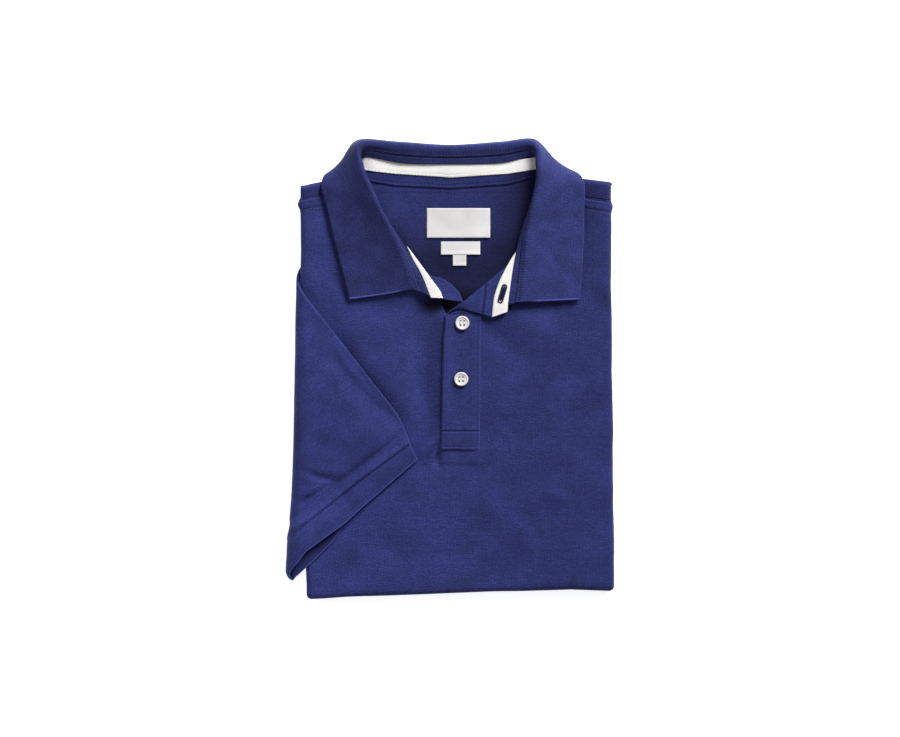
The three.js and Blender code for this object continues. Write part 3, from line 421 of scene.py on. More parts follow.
def cloth_object(name, outer, wall, side=1, closed=False, laid=False, weave=None, keep=None, painted_light=None):
    """Cloth with rounded edges. outer is a grid of points on its outer face, weave the thread
    coordinates of those points in millimetres, keep a mask of the quads that stay, and the last argument
    how much painted highlight the outer face gets beside an edge. Below 0, the last argument is how much
    painted shade it gets in a fold."""
    rows, columns = outer.shape[:2]
    inner = outer - (upright(outer) if laid else grid_normals(outer, closed) * side) * wall
    if weave is None:
        u = summed(np.linalg.norm(np.diff(outer, axis=1), axis=2).mean(0))
        v = summed(np.linalg.norm(np.diff(outer, axis=0), axis=2).mean(1))
        weave = np.stack(np.meshgrid(u, v), axis=-1)
    flat = np.concatenate([weave, np.zeros((rows, columns, 1))], axis=2).reshape(-1, 3)
    outer, inner = outer.reshape(-1, 3), inner.reshape(-1, 3)
    cloth = [flat.copy(), flat + (0, 0, INNER)]
    # The outer face takes the painted highlight and shade; the inner face takes the highlight beside an edge.
    if painted_light is not None:
        cloth[0][:, 2] = painted_light.ravel()
        cloth[1][:, 2] -= HIGHLIGHT_THROUGH * painted_light.ravel()
    index = np.arange(rows * columns).reshape(rows, columns)
    beside = np.roll(index, -1, axis=1)
    last = columns if closed else columns - 1
    corners = index[:-1, :last], beside[:-1, :last], beside[1:, :last], index[1:, :last]
    quads = np.stack(corners, axis=-1)
    kept = quads.reshape(-1, 4) if keep is None else quads[keep]
    offset = rows * columns

    # Every boundary edge of the kept quads gets a rim through a middle line set a little outwards.
    edges = {}
    for quad in kept:
        for k in range(4):
            p, q = int(quad[k]), int(quad[(k + 1) % 4])
            if (q, p) in edges:
                del edges[(q, p)]
            else:
                edges[(p, q)] = True
    rim = sorted({p for edge in edges for p in edge})
    place = {p: n for n, p in enumerate(rim)}
    outward = np.zeros((len(rim), 3))
    rims = []
    for p, q in edges:
        out = np.cross(outer[q] - outer[p], outer[p] - inner[p])
        out /= max(np.linalg.norm(out), 1e-9)
        outward[place[p]] += out
        outward[place[q]] += out
        mp, mq = 2 * offset + place[p], 2 * offset + place[q]
        rims.append((q, p, mp, mq))
        rims.append((mq, mp, p + offset, q + offset))
    middle = (outer[rim] + inner[rim]) / 2 + unit(outward) * wall * RIM_BULGE
    # The rim's middle line is painted pale as a highlight, and its points on the outer face partly so.
    cloth.append(cloth[0][rim] * (1, 1, 0) + (0, 0, RIM))
    cloth[0][rim, 2] = np.maximum(cloth[0][rim, 2], RIM_START)
    faces = np.concatenate([kept, kept[:, ::-1] + offset, np.array(rims, int).reshape(-1, 4)])
    obj = mesh_object(name, np.concatenate([outer, inner, middle]), faces, np.concatenate(cloth))
    return fix_normals(obj)


def fix_normals(obj):
    """Turns the faces outwards where the grid was laid the other way round, and drops loose points."""
    mesh = bmesh.new()
    mesh.from_mesh(obj.data)
    loose = [v for v in mesh.verts if not v.link_faces]
    bmesh.ops.delete(mesh, geom=loose, context="VERTS")
    if mesh.calc_volume(signed=True) < 0:
        bmesh.ops.reverse_faces(mesh, faces=mesh.faces)
    mesh.to_mesh(obj.data)
    mesh.free()
    return obj


# Materials.
class Shading:
    """The nodes of one material, with short ways to add the kinds that the cloths share."""

    def __init__(self, name):
        self.material = bpy.data.materials.new(name)
        self.material.use_nodes = True
        self.tree = self.material.node_tree
        self.tree.nodes.clear()
        self.shader = self.add("ShaderNodeBsdfPrincipled")
        self.add("ShaderNodeOutputMaterial", {"Surface": self.shader.outputs["BSDF"]})

    def feed(self, node, inputs):
        for socket, value in inputs.items():
            if isinstance(value, bpy.types.NodeSocket):
                self.tree.links.new(value, node.inputs[socket])
            else:
                node.inputs[socket].default_value = value

    def add(self, kind, inputs=None, **settings):
        node = self.tree.nodes.new(kind)
        for key, value in settings.items():
            setattr(node, key, value)
        self.feed(node, inputs or {})
        return node

    def cloth(self):
        return self.add("ShaderNodeAttribute", attribute_name="cloth").outputs["Vector"]

    def position(self):
        return self.add("ShaderNodeTexCoord").outputs["Object"]

    def axes(self, vector):
        return self.add("ShaderNodeSeparateXYZ", {"Vector": vector}).outputs

    def number(self, operation, *terms):
        return self.add("ShaderNodeMath", dict(enumerate(terms)), operation=operation).outputs[0]

    def total(self, *parts):
        """The sum of values, each given with its weight."""
        terms = [self.number("MULTIPLY", value, weight) for value, weight in parts]
        while len(terms) > 1:
            terms[:2] = [self.number("ADD", *terms[:2])]
        return terms[0]

    def scaled(self, vector, factors):
        return self.add("ShaderNodeMapping", {"Vector": vector, "Scale": factors}).outputs["Vector"]

    def noise(self, vector, scale, detail, roughness):
        """Noise over a vector that is scaled by one number, or by a number for each axis."""
        if isinstance(scale, tuple):
            vector, scale = self.scaled(vector, scale), 1.0
        inputs = {"Vector": vector, "Scale": scale, "Detail": detail, "Roughness": roughness}
        return self.add("ShaderNodeTexNoise", inputs).outputs["Fac"]

    def span(self, value, start, end, low=0.0, high=1.0):
        """A smooth step of a value between two ends."""
        inputs = {"Value": value, "From Min": start, "From Max": end, "To Min": low, "To Max": high}
        return self.add("ShaderNodeMapRange", inputs, interpolation_type="SMOOTHSTEP").outputs["Result"]

    def toned(self, value, colour, *stops):
        """Shades of one colour: every stop is a place on the value and the colour's factor there."""
        node = self.add("ShaderNodeValToRGB", {"Fac": value})
        while len(node.color_ramp.elements) < len(stops):
            node.color_ramp.elements.new(0.5)
        for element, (position, factor) in zip(node.color_ramp.elements, stops):
            element.position = position
            element.color = (*tint(colour, factor), 1)
        return node.outputs["Color"]

    def with_painted_shading(self, colour, painted_shading):
        """Scales a colour along axes of the part: painted light and shade, lighter or darker from place to
        place.
        """
        axes = self.axes(self.position())
        for axis, start, end, low_factor, high_factor in painted_shading:
            offset = SHIFT["XY".index(axis)]
            ends = (start + offset) * MM, (end + offset) * MM
            factor = self.span(axes[axis], *ends, low_factor, high_factor)
            inputs = {0: colour, "Scale": factor}
            colour = self.add("ShaderNodeVectorMath", inputs, operation="SCALE").outputs["Vector"]
        return colour

    def edged(self, colour, cloth, rim_highlight, inner_colour, highlight_from=None):
        """The rolled rim of a piece is painted paler than its face as a highlight, the inner face is darker,
        and a deep fold is painted dark as shade.
        """
        axes = self.axes(cloth)
        rim = self.span(axes["Z"], 0.2, 2.0)
        # Where a start across the width is given, only the collar leaf's edges take the painted highlight.
        if highlight_from is not None:
            rim = self.number("MULTIPLY", rim, self.span(axes["Y"], highlight_from, highlight_from + 8.0))
        inner = self.span(axes["Z"], 3.4, 6.0)
        # Below 0 the third coordinate mixes in painted shade for a deep fold.
        fold_shade = self.span(axes["Z"], -1.0, 0.0, 1.0, 0.0)
        for factor, tone in ((rim, rim_highlight), (inner, inner_colour), (fold_shade, PAINTED_FOLD_SHADE)):
            inputs = {"Factor": factor, "A": colour, "B": (*tone, 1)}
            colour = self.add("ShaderNodeMix", inputs, data_type="RGBA").outputs["Result"]
        return colour

    def finish(self, colour, height, strength, distance, roughness, sheen=0.1, sheen_tint=(1, 1, 1)):
        """Sets the shader to a matt cloth or thread with a fine relief."""
        relief = {"Height": height, "Strength": strength, "Distance": distance}
        self.feed(self.shader, {
            "Base Color": colour, "Normal": self.add("ShaderNodeBump", relief).outputs["Normal"],
            "Roughness": roughness, "Specular IOR Level": 0.14,
            "Sheen Weight": sheen, "Sheen Roughness": 0.45, "Sheen Tint": (*sheen_tint, 1),
        })
        return self.material


def tint(colour, factor):
    return tuple(channel * factor for channel in colour)


def pique_material(name, colour, painted_shading):
    """Knitted pique: staggered pits, slightly heathered along the courses."""
    shading = Shading(name)
    cloth = shading.cloth()
    spacing = shading.scaled(cloth, (1 / PIT_WIDTH, 1, 1))
    inputs = {"Vector": spacing, "Scale": 1.0, "Randomness": 0.32, "Smoothness": 0.35}
    pits = shading.add("ShaderNodeTexVoronoi", inputs, feature="SMOOTH_F1").outputs["Distance"]
    courses = shading.noise(cloth, (0.16, 0.8, 1), 3.0, 0.65)
    heather = shading.noise(cloth, (0.62, 0.85, 1), 2.0, 0.6)
    patches = shading.noise(cloth, (0.03, 0.04, 1), 3.0, 0.55)
    raised = shading.number("SUBTRACT", 0.45, pits)
    tone = shading.total((courses, 0.3), (heather, 0.45), (patches, 0.25), (raised, 0.22))
    # Painted light and shade along the part.
    base = shading.with_painted_shading(shading.toned(tone, colour, (0.36, 0.58), (0.5, 1), (0.64, 1.6)), painted_shading)
    # Rims painted paler as a highlight, the inner face darker.
    base = shading.edged(base, cloth, tint(colour, 2.1), tint(colour, 0.8))
    height = shading.total((pits, 1.0), (courses, 0.5))
    return shading.finish(base, height, 0.8, 0.0005, 0.88, 0.12, NAVY_SHEEN)


def rib_material(name, colour, painted_shading):
    """Flat-knitted rib: fine wales across the collar's length."""
    shading = Shading(name)
    cloth = shading.cloth()
    inputs = {
        "Vector": cloth, "Scale": 0.1 * math.pi / RIB_PITCH, "Distortion": 0.35,
        "Detail": 1.0, "Detail Scale": 2.0,
    }
    bands = {"wave_type": "BANDS", "bands_direction": "X", "wave_profile": "SIN"}
    wales = shading.add("ShaderNodeTexWave", inputs, **bands).outputs["Fac"]
    # The ribs show where the cloth is stretched over the roll and hardly on the leaf.
    stretched = shading.span(shading.axes(cloth)["Y"], 6.0, 13.0, 1.0, 0.1)
    ribs = shading.number("MULTIPLY", shading.number("SUBTRACT", wales, 0.5), stretched)
    stitches = shading.noise(cloth, (0.7, 0.95, 1), 3.0, 0.65)
    patches = shading.noise(cloth, (0.06, 0.06, 1), 3.0, 0.55)
    tone = shading.total((ribs, 0.16), (stitches, 0.7), (patches, 0.3))
    # Painted light and shade along the part.
    base = shading.with_painted_shading(shading.toned(tone, colour, (0.36, 0.52), (0.5, 1), (0.64, 1.7)), painted_shading)
    # Leaf edges painted much paler as a highlight, the inner face a little darker.
    base = shading.edged(base, cloth, tint(colour, 3.6), tint(colour, 0.9), 14.0)
    height = shading.total((ribs, 0.9), (stitches, 1.0))
    return shading.finish(base, height, 0.6, 0.0004, 0.85, 0.14, NAVY_SHEEN)


def twill_material(name, colour):
    """Herringbone cotton tape."""
    shading = Shading(name)
    cloth = shading.cloth()
    axes = shading.axes(cloth)
    slant = shading.number("ADD", shading.number("PINGPONG", axes["X"], 2.6), axes["Y"])
    wave = shading.number("SINE", shading.number("MULTIPLY", slant, 2 * math.pi / 0.9))
    threads = shading.noise(cloth, (1.5, 1.5, 1), 2.0, 0.6)
    tone = shading.total((wave, 0.12), (threads, 1.0))
    base = shading.toned(tone, colour, (0.3, 0.86), (0.55, 1), (0.75, 1.05))
    return shading.finish(base, shading.number("ADD", wave, threads), 0.4, 0.00018, 0.8)


def label_material(name, colour):
    """Satin woven label: very fine weft lines."""
    shading = Shading(name)
    cloth = shading.cloth()
    weft = shading.noise(cloth, (0.4, 5.0, 1), 2.0, 0.6)
    patches = shading.noise(cloth, (0.08, 0.08, 1), 1.0, 0.5)
    tone = shading.total((weft, 0.6), (patches, 0.4))
    base = shading.toned(tone, colour, (0.3, 0.88), (0.5, 1), (0.7, 1.06))
    return shading.finish(base, weft, 0.35, 0.0001, 0.55)


def thread_material(name, colour):
    shading = Shading(name)
    twist = shading.noise(shading.position(), 2600.0, 1.0, 0.5)
    base = shading.toned(twist, colour, (0.35, 0.8), (0.65, 1.15))
    return shading.finish(base, twist, 0.3, 0.00008, 0.6)


def pearl_material(name, colour):
    """Polished shirt button with faint cloudy layers."""
    shading = Shading(name)
    clouds = shading.noise(shading.position(), (90, 240, 200), 3.0, 0.6)
    base = shading.toned(clouds, colour, (0.3, 0.86), (0.55, 1), (0.8, 1.08))
    relief = {"Height": clouds, "Strength": 0.05, "Distance": 0.0002}
    shading.feed(shading.shader, {
        "Base Color": base, "Normal": shading.add("ShaderNodeBump", relief).outputs["Normal"],
        "Roughness": 0.22, "Coat Weight": 0.4, "Coat Roughness": 0.12, "Subsurface Weight": 0.08,
        "Subsurface Radius": (0.004, 0.003, 0.002), "Subsurface Scale": 0.2,
    })
    return shading.material


def folded_material(name, colour):
    """The layers folded inside: faint lines between them, and plain knit."""
    shading = Shading(name)
    position = shading.position()
    layers = shading.noise(position, (40, 40, 900), 2.0, 0.6)
    knit = shading.noise(position, 900.0, 2.0, 0.6)
    tone = shading.total((layers, 0.6), (knit, 0.4))
    base = shading.toned(tone, colour, (0.3, 0.7), (0.5, 1), (0.7, 1.2))
    return shading.finish(base, tone, 0.5, 0.0004, 0.9, 0.1, NAVY_SHEEN)


PIT_WIDTH = 1.25
RIB_PITCH = 1.35
NAVY = (0.0238, 0.0306, 0.133)
# Near-black painted shade for the deepest folds of the cloth.
PAINTED_FOLD_SHADE = (0.003, 0.0036, 0.013)
# The inside's navy, painted a little darker than the front as shade inside the neck and the fold.
NAVY_SHADED = (0.0208, 0.0262, 0.117)
NAVY_RIB = (0.0235, 0.0298, 0.126)
NAVY_SHEEN = (0.55, 0.6, 1.0)
# Painted light and shade: the axis, two places on it in millimetres, and the colour's factor at each.
# The front is painted darker towards positive x and lighter towards its bottom; the inside of the neck is
# painted dark as shade low down and towards positive x, and lighter again past x 78.
FRONT_PAINTED_SHADING = [("X", -70, 112, 1.05, 0.87), ("Y", -150, -40, 1.15, 1.0)]
INSIDE_PAINTED_SHADING = [
    ("Y", 88, 142, 0.34, 1.0), ("Y", 56, 74, 0.1, 1.0), ("X", 20, 62, 1.0, 0.36), ("X", 78, 100, 1.0, 2.0),
]
MATERIALS = {
    "pique": pique_material("pique", NAVY, FRONT_PAINTED_SHADING),
    # A darker copy of the pique with painted shade, for the back panel inside the neck.
    "pique_inside": pique_material("pique_inside", NAVY_SHADED, INSIDE_PAINTED_SHADING),
    # The collar's rib is painted darker towards negative x, as shade on the leaf that faces away from the
    # light.
    "collar_rib": rib_material("collar_rib", NAVY_RIB, [("X", -60, 60, 0.8, 0.98)]),
    "twill_tape": twill_material("twill_tape", (0.84, 0.825, 0.80)),
    "woven_label": label_material("woven_label", (0.645, 0.632, 0.628)),
    "button": pearl_material("button", (0.72, 0.71, 0.69)),
    "navy_thread": thread_material("navy_thread", (0.030, 0.038, 0.125)),
    "white_thread": thread_material("white_thread", (0.82, 0.81, 0.79)),
    "dark_thread": thread_material("dark_thread", (0.012, 0.015, 0.055)),
    # Near-black slit: painted shade standing in the opening of a buttonhole.
    "slit": thread_material("slit", (0.004, 0.005, 0.012)),
}


def dress(obj, slot, material=None):
    obj.data.materials.clear()
    obj.data.materials.append(MATERIALS[material or slot])
    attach(obj, "root")
    return obj


# Sewing.
def stitch_mesh(name, centres, directions, normals, length, width, material, slot):
    """Small thread stitches, each a tapered six-sided bead lying on the cloth."""
    rings = [(-0.5, 0.25), (-0.28, 0.85), (0.0, 1.0), (0.28, 0.85), (0.5, 0.25)]
    sides = 6
    vertices, faces = [], []
    for centre, direction, normal in zip(centres, directions, normals):
        across = np.cross(normal, direction)
        base = len(vertices)
        end = base + (len(rings) - 1) * sides
        for along, swell in rings:
            for k in range(sides):
                angle = 2 * math.pi * k / sides
                lift = math.sin(angle) * swell * width / 2 - abs(along) * width * 0.5
                aside = across * math.cos(angle) * swell * width / 2
                vertices.append(centre + direction * along * length + aside + normal * lift)
        for start in range(base, end, sides):
            for k in range(sides):
                p, q = start + k, start + (k + 1) % sides
                faces.append((p, q, q + sides, p + sides))
        faces.append(tuple(range(base, base + sides))[::-1])
        faces.append(tuple(range(end, end + sides)))
    return dress(mesh_object(name, np.array(vertices), faces), slot, material)


def spread(path, pitch):
    """Places at even distances along a path of 3-D points, with the direction at each."""
    whole = distances(path)[-1]
    count = max(int(whole / pitch), 1)
    at = (np.arange(count) + 0.5) * whole / count
    return places_on(path, at), unit(places_on(path, at + 0.3) - places_on(path, at - 0.3))


def seam_on(height, corners, rise, samples=160):
    """A path over a surface that is a height over the plan, through the given plan corners."""
    corners = np.array(corners, float)
    x, y = places_on(corners, np.linspace(0, distances(corners)[-1], samples)).T
    return np.stack([x, y, height(x, y) + rise], axis=1)


def sew(name, path, pitch=2.6, length=2.0, thread="navy_thread", slot="pique", normals=None):
    """A row of stitches along a path, upright or by the normals at the path's points."""
    places, directions = spread(path, pitch)
    if normals is None:
        normals = upright(places)
    else:
        normals = normals[np.argmin(np.linalg.norm(places[:, None] - path[None], axis=2), axis=1)]
    stitch_mesh(name, places, directions, normals, length, THREAD, thread, slot)


# The body.
def front_painted_shade(x, y):
    """How much painted shade darkens the front, from 0 to 1: where it dips into a fold below the open V and
    beside the placket.
    """
    pocket = np.exp(-(((x + 20) / 12.0) ** 2 + ((y - 56) / 8.0) ** 2))
    off = x - read(PLACKET_STRIP, "y", "left", y)
    valley = 0.34 * bell(off + 1.0, 9.0) * smoothstep(y, -66, -30) * (1 - smoothstep(y, 44, 56))
    return np.maximum(pocket, np.where(off < 3, valley, 0))


def wrap_section(face_steps, arc_steps, wrap_steps=0):
    """Columns of a folded section: inset at the sides, share across the face, and depth of all."""
    angles = math.pi * (1 - np.arange(arc_steps + 1) / arc_steps)
    behind = EDGE_RADIUS + SIDE_WRAP * (1 - np.arange(wrap_steps) / max(wrap_steps, 1))
    inset = np.concatenate([behind, EDGE_RADIUS * (1 - np.sin(angles))])
    depth = np.concatenate([np.full(wrap_steps, 2 * EDGE_RADIUS), EDGE_RADIUS * (1 - np.cos(angles))])
    shares = np.arange(1, face_steps) / face_steps
    return inset, shares, np.concatenate([depth, np.zeros(len(shares)), depth[::-1]])


def section_x(inset, shares, left, right):
    """x of every column for a row with the given left and right edges."""
    low, high = left + EDGE_RADIUS, right - EDGE_RADIUS
    return np.concatenate([left + inset, low + (high - low) * shares, (right - inset)[::-1]])


def sides_of(polygon):
    return [(np.array(a, float), np.array(b, float)) for a, b in zip(polygon, polygon[1:] + polygon[:1])]


def inside_polygon(x, y, polygon):
    inside = np.zeros(x.shape, bool)
    for (x0, y0), (x1, y1) in sides_of(polygon):
        with np.errstate(divide="ignore", invalid="ignore"):
            at = (x1 - x0) * (y - y0) / (y1 - y0) + x0
        inside ^= ((y0 > y) != (y1 > y)) & (x < at)
    return inside


def nearest_on_polygon(points, polygon):
    best = np.full(len(points), 1e9)
    spot = points.copy()
    for a, b in sides_of(polygon):
        t = np.clip(((points - a) @ (b - a)) / ((b - a) @ (b - a)), 0, 1)
        near = a + t[:, None] * (b - a)
        distance = np.linalg.norm(points - near, axis=1)
        closer = distance < best
        best[closer] = distance[closer]
        spot[closer] = near[closer]
    return spot


def edge_waver(y, seed):
    return 0.45 * soft_noise(y, 0.0, 38, seed) + 0.2 * soft_noise(y, 0.0, 13, seed + 1)


def make_front():
    inset, shares, depth = wrap_section(152, 9, 7)
    guess_x = section_x(inset, shares, -134.0, 133.4)
    weave_x = guess_x + np.sign(guess_x) * depth * 2
    fold_y = fold_line(guess_x)
    seam_y = seam_line(guess_x) + 1.7
    half = STACK_HEIGHT / 2
    fold_length = math.pi * half
    fold_rows, under_rows = 36, 26
    # Rows lie closer at the shoulder seam, where the seam band is.
    face_shares = np.concatenate([np.linspace(0, 0.042, 26)[:-1], np.linspace(0.042, 1, 156)])
    rows, weave = [], []

    def add_row(x, y, z, weave_y):
        rows.append(np.stack([x, y, z], axis=1))
        weave.append(np.stack([weave_x, weave_y], axis=1))

    for share in face_shares:
        y = seam_y + (fold_y - seam_y) * share
        mid_y = np.mean(y)
        waver = smoothstep(mid_y, -180, -150)
        full = bell(mid_y - 146.0, 4.2)
        left = left_edge(mid_y) + waver * edge_waver(mid_y, 31) - 2.2 * full
        right = right_edge(mid_y) + waver * edge_waver(mid_y, 35) + 1.6 * full
        x = section_x(inset, shares, left, right)
        relief = front_relief(x, y) * (1 - depth / (2 * EDGE_RADIUS))
        add_row(x, y, body_top(x, y) - depth + relief, y)
    x = section_x(inset, shares, left_edge(-180), right_edge(-180))
    for row in range(1, fold_rows + 1):
        sine, cosine = math.sin(math.pi * row / fold_rows), math.cos(math.pi * row / fold_rows)
        square = (abs(sine) ** FOLD_SQUARENESS + abs(cosine) ** FOLD_SQUARENESS) ** (-1 / FOLD_SQUARENESS)
        radius = (half - depth) * square
        bulge = 0.5 * soft_noise(x, np.zeros_like(x), 30, 41) * sine
        y = fold_y - (radius + bulge) * sine
        add_row(x, y, half + radius * cosine, fold_y - fold_length * row / fold_rows)
    for row in range(1, under_rows + 1):
        share = row / under_rows
        y = fold_y + (HEM_Y - fold_y) * share
        mid_y = np.mean(y)
        narrower = LOWER_INSET * smoothstep(share, 0, 0.3)
        left = left_edge(mid_y) + narrower + share * edge_waver(mid_y, 51)
        right = right_edge(mid_y) - narrower + share * edge_waver(mid_y, 55)
        add_row(section_x(inset, shares, left, right), y, depth, fold_y - fold_length - (y - fold_y))
    grid, weave = np.stack(rows), np.stack(weave)
    # The neck and placket opening: quads inside it go, and the points beside it move to its line.
    face = slice(0, len(face_shares))
    on_face = np.zeros(grid.shape[:2], bool)
    on_face[face, len(inset) - 1: -len(inset) + 1] = True
    inside = on_face & inside_polygon(grid[..., 0], grid[..., 1], NECK_OPENING)
    keep = ~(inside[:-1, :-1] & inside[:-1, 1:] & inside[1:, :-1] & inside[1:, 1:])
    touches = np.zeros(grid.shape[:2], bool)
    for dr in (0, 1):
        for dc in (0, 1):
            touches[dr:grid.shape[0] - 1 + dr, dc:grid.shape[1] - 1 + dc] |= keep
    move = inside & touches
    grid[move, :2] = nearest_on_polygon(grid[move][:, :2], NECK_OPENING)
    # The front is painted dark as shade where it dips into a fold below the open V and beside the placket.
    painted_light = np.zeros(grid.shape[:2])
    painted_light[face] = -front_painted_shade(grid[face, :, 0], grid[face, :, 1])
    obj = cloth_object("front", grid, PIQUE, side=-1, weave=weave, keep=keep, painted_light=painted_light)
    dress(obj, "pique")
    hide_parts("front_panel")
    return obj


def make_back():
    """The back panel: under the front, up inside the neck, and rolled over at the shoulders."""
    inset, shares, depth = wrap_section(170, 12)
    flat_inset = EDGE_RADIUS * np.linspace(0, 1, len(inset))
    guess_x = section_x(flat_inset, shares, -134.5, 132.6)
    seam_y = seam_line(guess_x) + 2 * GAP
    rows = []
    # Rows lie closer where the panel shows inside the neck.
    under_shares = np.concatenate([np.linspace(0, 0.68, 13)[:-1], np.linspace(0.68, 1, 126)])
    for share in under_shares:
        y = BACK_LOW_END + (seam_y - BACK_LOW_END) * share
        edges = left_edge(np.mean(y)) + BACK_EDGE_ROOM, right_edge(np.mean(y)) - BACK_EDGE_ROOM
        x = section_x(flat_inset, shares, *edges)
        rows.append(np.stack([x, y, back_surface(x, y)], axis=1))
    shoulder = smoothstep(read(SHOULDER_SHARE, "x", "share", guess_x), 0, 1)
    top_y = read(TOP_FOLD, "x", "y", guess_x) - EDGE_RADIUS
    start_y = seam_y + YOKE_STEP
    full = 2 * EDGE_RADIUS
    x = section_x(inset, shares, left_edge(150), right_edge(150))
    yoke = [("yoke", k / 22) for k in range(23)]
    fold = [("fold", k / 14) for k in range(1, 15)]
    for part, share in yoke + fold + [("tuck", 1.0)]:
        neck_share = {"yoke": share * 0.5, "fold": 0.5 + share * 0.35, "tuck": 1.0}[part]
        neck_y = start_y + (BACK_NECK_Y - start_y) * neck_share
        y = start_y + (top_y - start_y) * share
        turned = 0.0
        if part != "yoke":
            angle = math.pi * share
            y = top_y + EDGE_RADIUS * math.sin(angle) - (YOKE_TUCK if part == "tuck" else 0)
            turned = EDGE_RADIUS * (1 - math.cos(angle))
        joined = full * (1 - (1 - depth / full) * (1 - turned / full))
        relief = (front_relief(x, y) + min(1.0, neck_share * 2)) * (1 - joined / full)
        shoulder_point = np.stack([x, y, body_top(x, y) + GAP - joined + relief], axis=1)
        neck = np.stack([x, neck_y, back_surface(x, neck_y)], axis=1)
        rows.append(neck + (shoulder_point - neck) * shoulder[:, None])
    obj = cloth_object("back", np.stack(rows), JERSEY)
    dress(obj, "pique_inside")
    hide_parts("back_panel")
    return obj


# The collar.
def smooth_rows(table, count):
    """Rows of a table read at even steps along it by a cubic that rounds its corners."""
    values = np.array(table, float)
    places = np.linspace(0, len(values) - 1, count)
    index = np.minimum(places.astype(int), len(values) - 2)
    t = (places - index)[:, None]
    before, start, end, after = (values[np.clip(index + k, 0, len(values) - 1)] for k in (-1, 0, 1, 2))
    slope_start, slope_end = (end - before) / 2, (after - start) / 2
    rise = end - start
    square = 3 * rise - 2 * slope_start - slope_end
    cube = slope_start + slope_end - 2 * rise
    return start + t * (slope_start + t * (square + t * cube))


def through(points, samples):
    """A centripetal curve through a few points, sampled at the given shares of its length."""
    points = np.array(points)
    padded = np.concatenate([[2 * points[0] - points[1]], points, [2 * points[-1] - points[-2]]])
    knots = summed(np.sqrt(np.linalg.norm(np.diff(padded, axis=0), axis=1)))
    between = lambda t, ta, tb, a, b: (tb - t) / (tb - ta) * a + (t - ta) / (tb - ta) * b
    dense = []
    for k in range(1, len(padded) - 2):
        p0, p1, p2, p3 = padded[k - 1:k + 3]
        t0, t1, t2, t3 = knots[k - 1:k + 3]
        t = np.linspace(t1, t2, 10, endpoint=k == len(padded) - 3)[:, None]
        a1, a2, a3 = between(t, t0, t1, p0, p1), between(t, t1, t2, p1, p2), between(t, t2, t3, p2, p3)
        b1, b2 = between(t, t0, t2, a1, a2), between(t, t1, t3, a2, a3)
        dense.append(between(t, t1, t2, b1, b2))
    dense = np.concatenate(dense)
    return places_on(dense, np.asarray(samples) * distances(dense)[-1])


def collar_section(values):
    """One row of the collar: foot of the stand, points over the roll, and the leaf."""
    row = dict(zip(STATION_COLUMNS, values))
    ends = []
    for part in ("seam", "crest", "bend", "edge"):
        x, y = row[part + "_x"], row[part + "_y"]
        ends.append(np.array([x, y, max(float(body_top(x, y)) + row[part + "_rise"], RIB / 2)]))
    seam, crest, bend, edge = ends
    outward = unit(np.array([row["bend_x"] - row["seam_x"], row["bend_y"] - row["seam_y"], 0]))
    # Round the back the roll is pressed flat.
    flat = 1 - 0.6 * (1 - float(smoothstep(abs(row["crest_x"] + 6), 46, 74)))
    over = []
    for angle in (0.35, 0.3 * math.pi, 0.5 * math.pi, 0.72 * math.pi):
        lift = np.array([0, 0, flat * row["roll"] * (math.sin(angle) - 1)])
        over.append(crest - outward * row["roll"] * math.cos(angle) + lift)
    return seam, over, bend, edge


def collar_weave(grid):
    along = distances(grid[:, grid.shape[1] // 4])
    across = np.cumsum(np.linalg.norm(np.diff(grid, axis=1), axis=2), axis=1)
    across = np.concatenate([np.zeros((len(grid), 1)), across], axis=1)
    return np.stack([np.repeat(along[:, None], grid.shape[1], axis=1), across], axis=-1)


def make_collar():
    grid, stand = [], []
    samples = np.linspace(0, 1, 44) ** 0.9
    reach = np.linspace(0, 1, len(samples))
    for number, values in enumerate(smooth_rows(COLLAR_STATIONS, COLLAR_ROWS)):
        seam, over, bend, edge = collar_section(values)
        join = over[0] + (seam - over[0]) * COLLAR_SHARE
        line = through([join, *over, bend, edge], samples)
        # The leaf lies on the front a little unevenly.
        place = number / (COLLAR_ROWS - 1) * 400
        wave = 0.35 * soft_noise(np.full(len(line), place), reach * 60, 34, 61)
        line[:, 2] += wave * smoothstep(reach, 0.35, 0.7)
        grid.append(line)
        start = join + (seam - join) * (GAP * 0.6 / np.linalg.norm(join - seam))
        stand.append(start + (seam - start) * np.linspace(0, 1, 12)[:, None])
    grid, stand = np.stack(grid), np.stack(stand)
    # Painted highlight along both ends of the leaf and, unevenly, along its outer edge.
    painted_light = np.zeros(grid.shape[:2])
    painted_light[:2] = painted_light[-2:] = 1.5
    painted_light[:, -1] = 0.4 + 0.5 * soft_noise(np.arange(COLLAR_ROWS), np.zeros(COLLAR_ROWS), 17, 63)
    collar = cloth_object("collar_leaf", grid, RIB, side=-1, weave=collar_weave(grid), painted_light=painted_light)
    dress(collar, "collar_rib")
    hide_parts("collar")
    band = cloth_object("stand", stand, STAND, weave=collar_weave(stand))
    dress(band, "collar_rib")
    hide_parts("collar_stand")
    return collar, band, grid, stand


# The sleeve.
def sleeve_plan(across, along):
    """Plan place on the sleeve: its fold line stands out past the hem corner, and so does its tip."""
    out = 10.2 * smoothstep(along, -4, 46) * bell(across, 58)
    tip = 3.0 * smoothstep(across, 104, 147) * bell(along, 22)
    reach = across - out + tip
    return [HEM_CORNER[k] + reach * ACROSS[k] + along * ALONG[k] for k in (0, 1)]


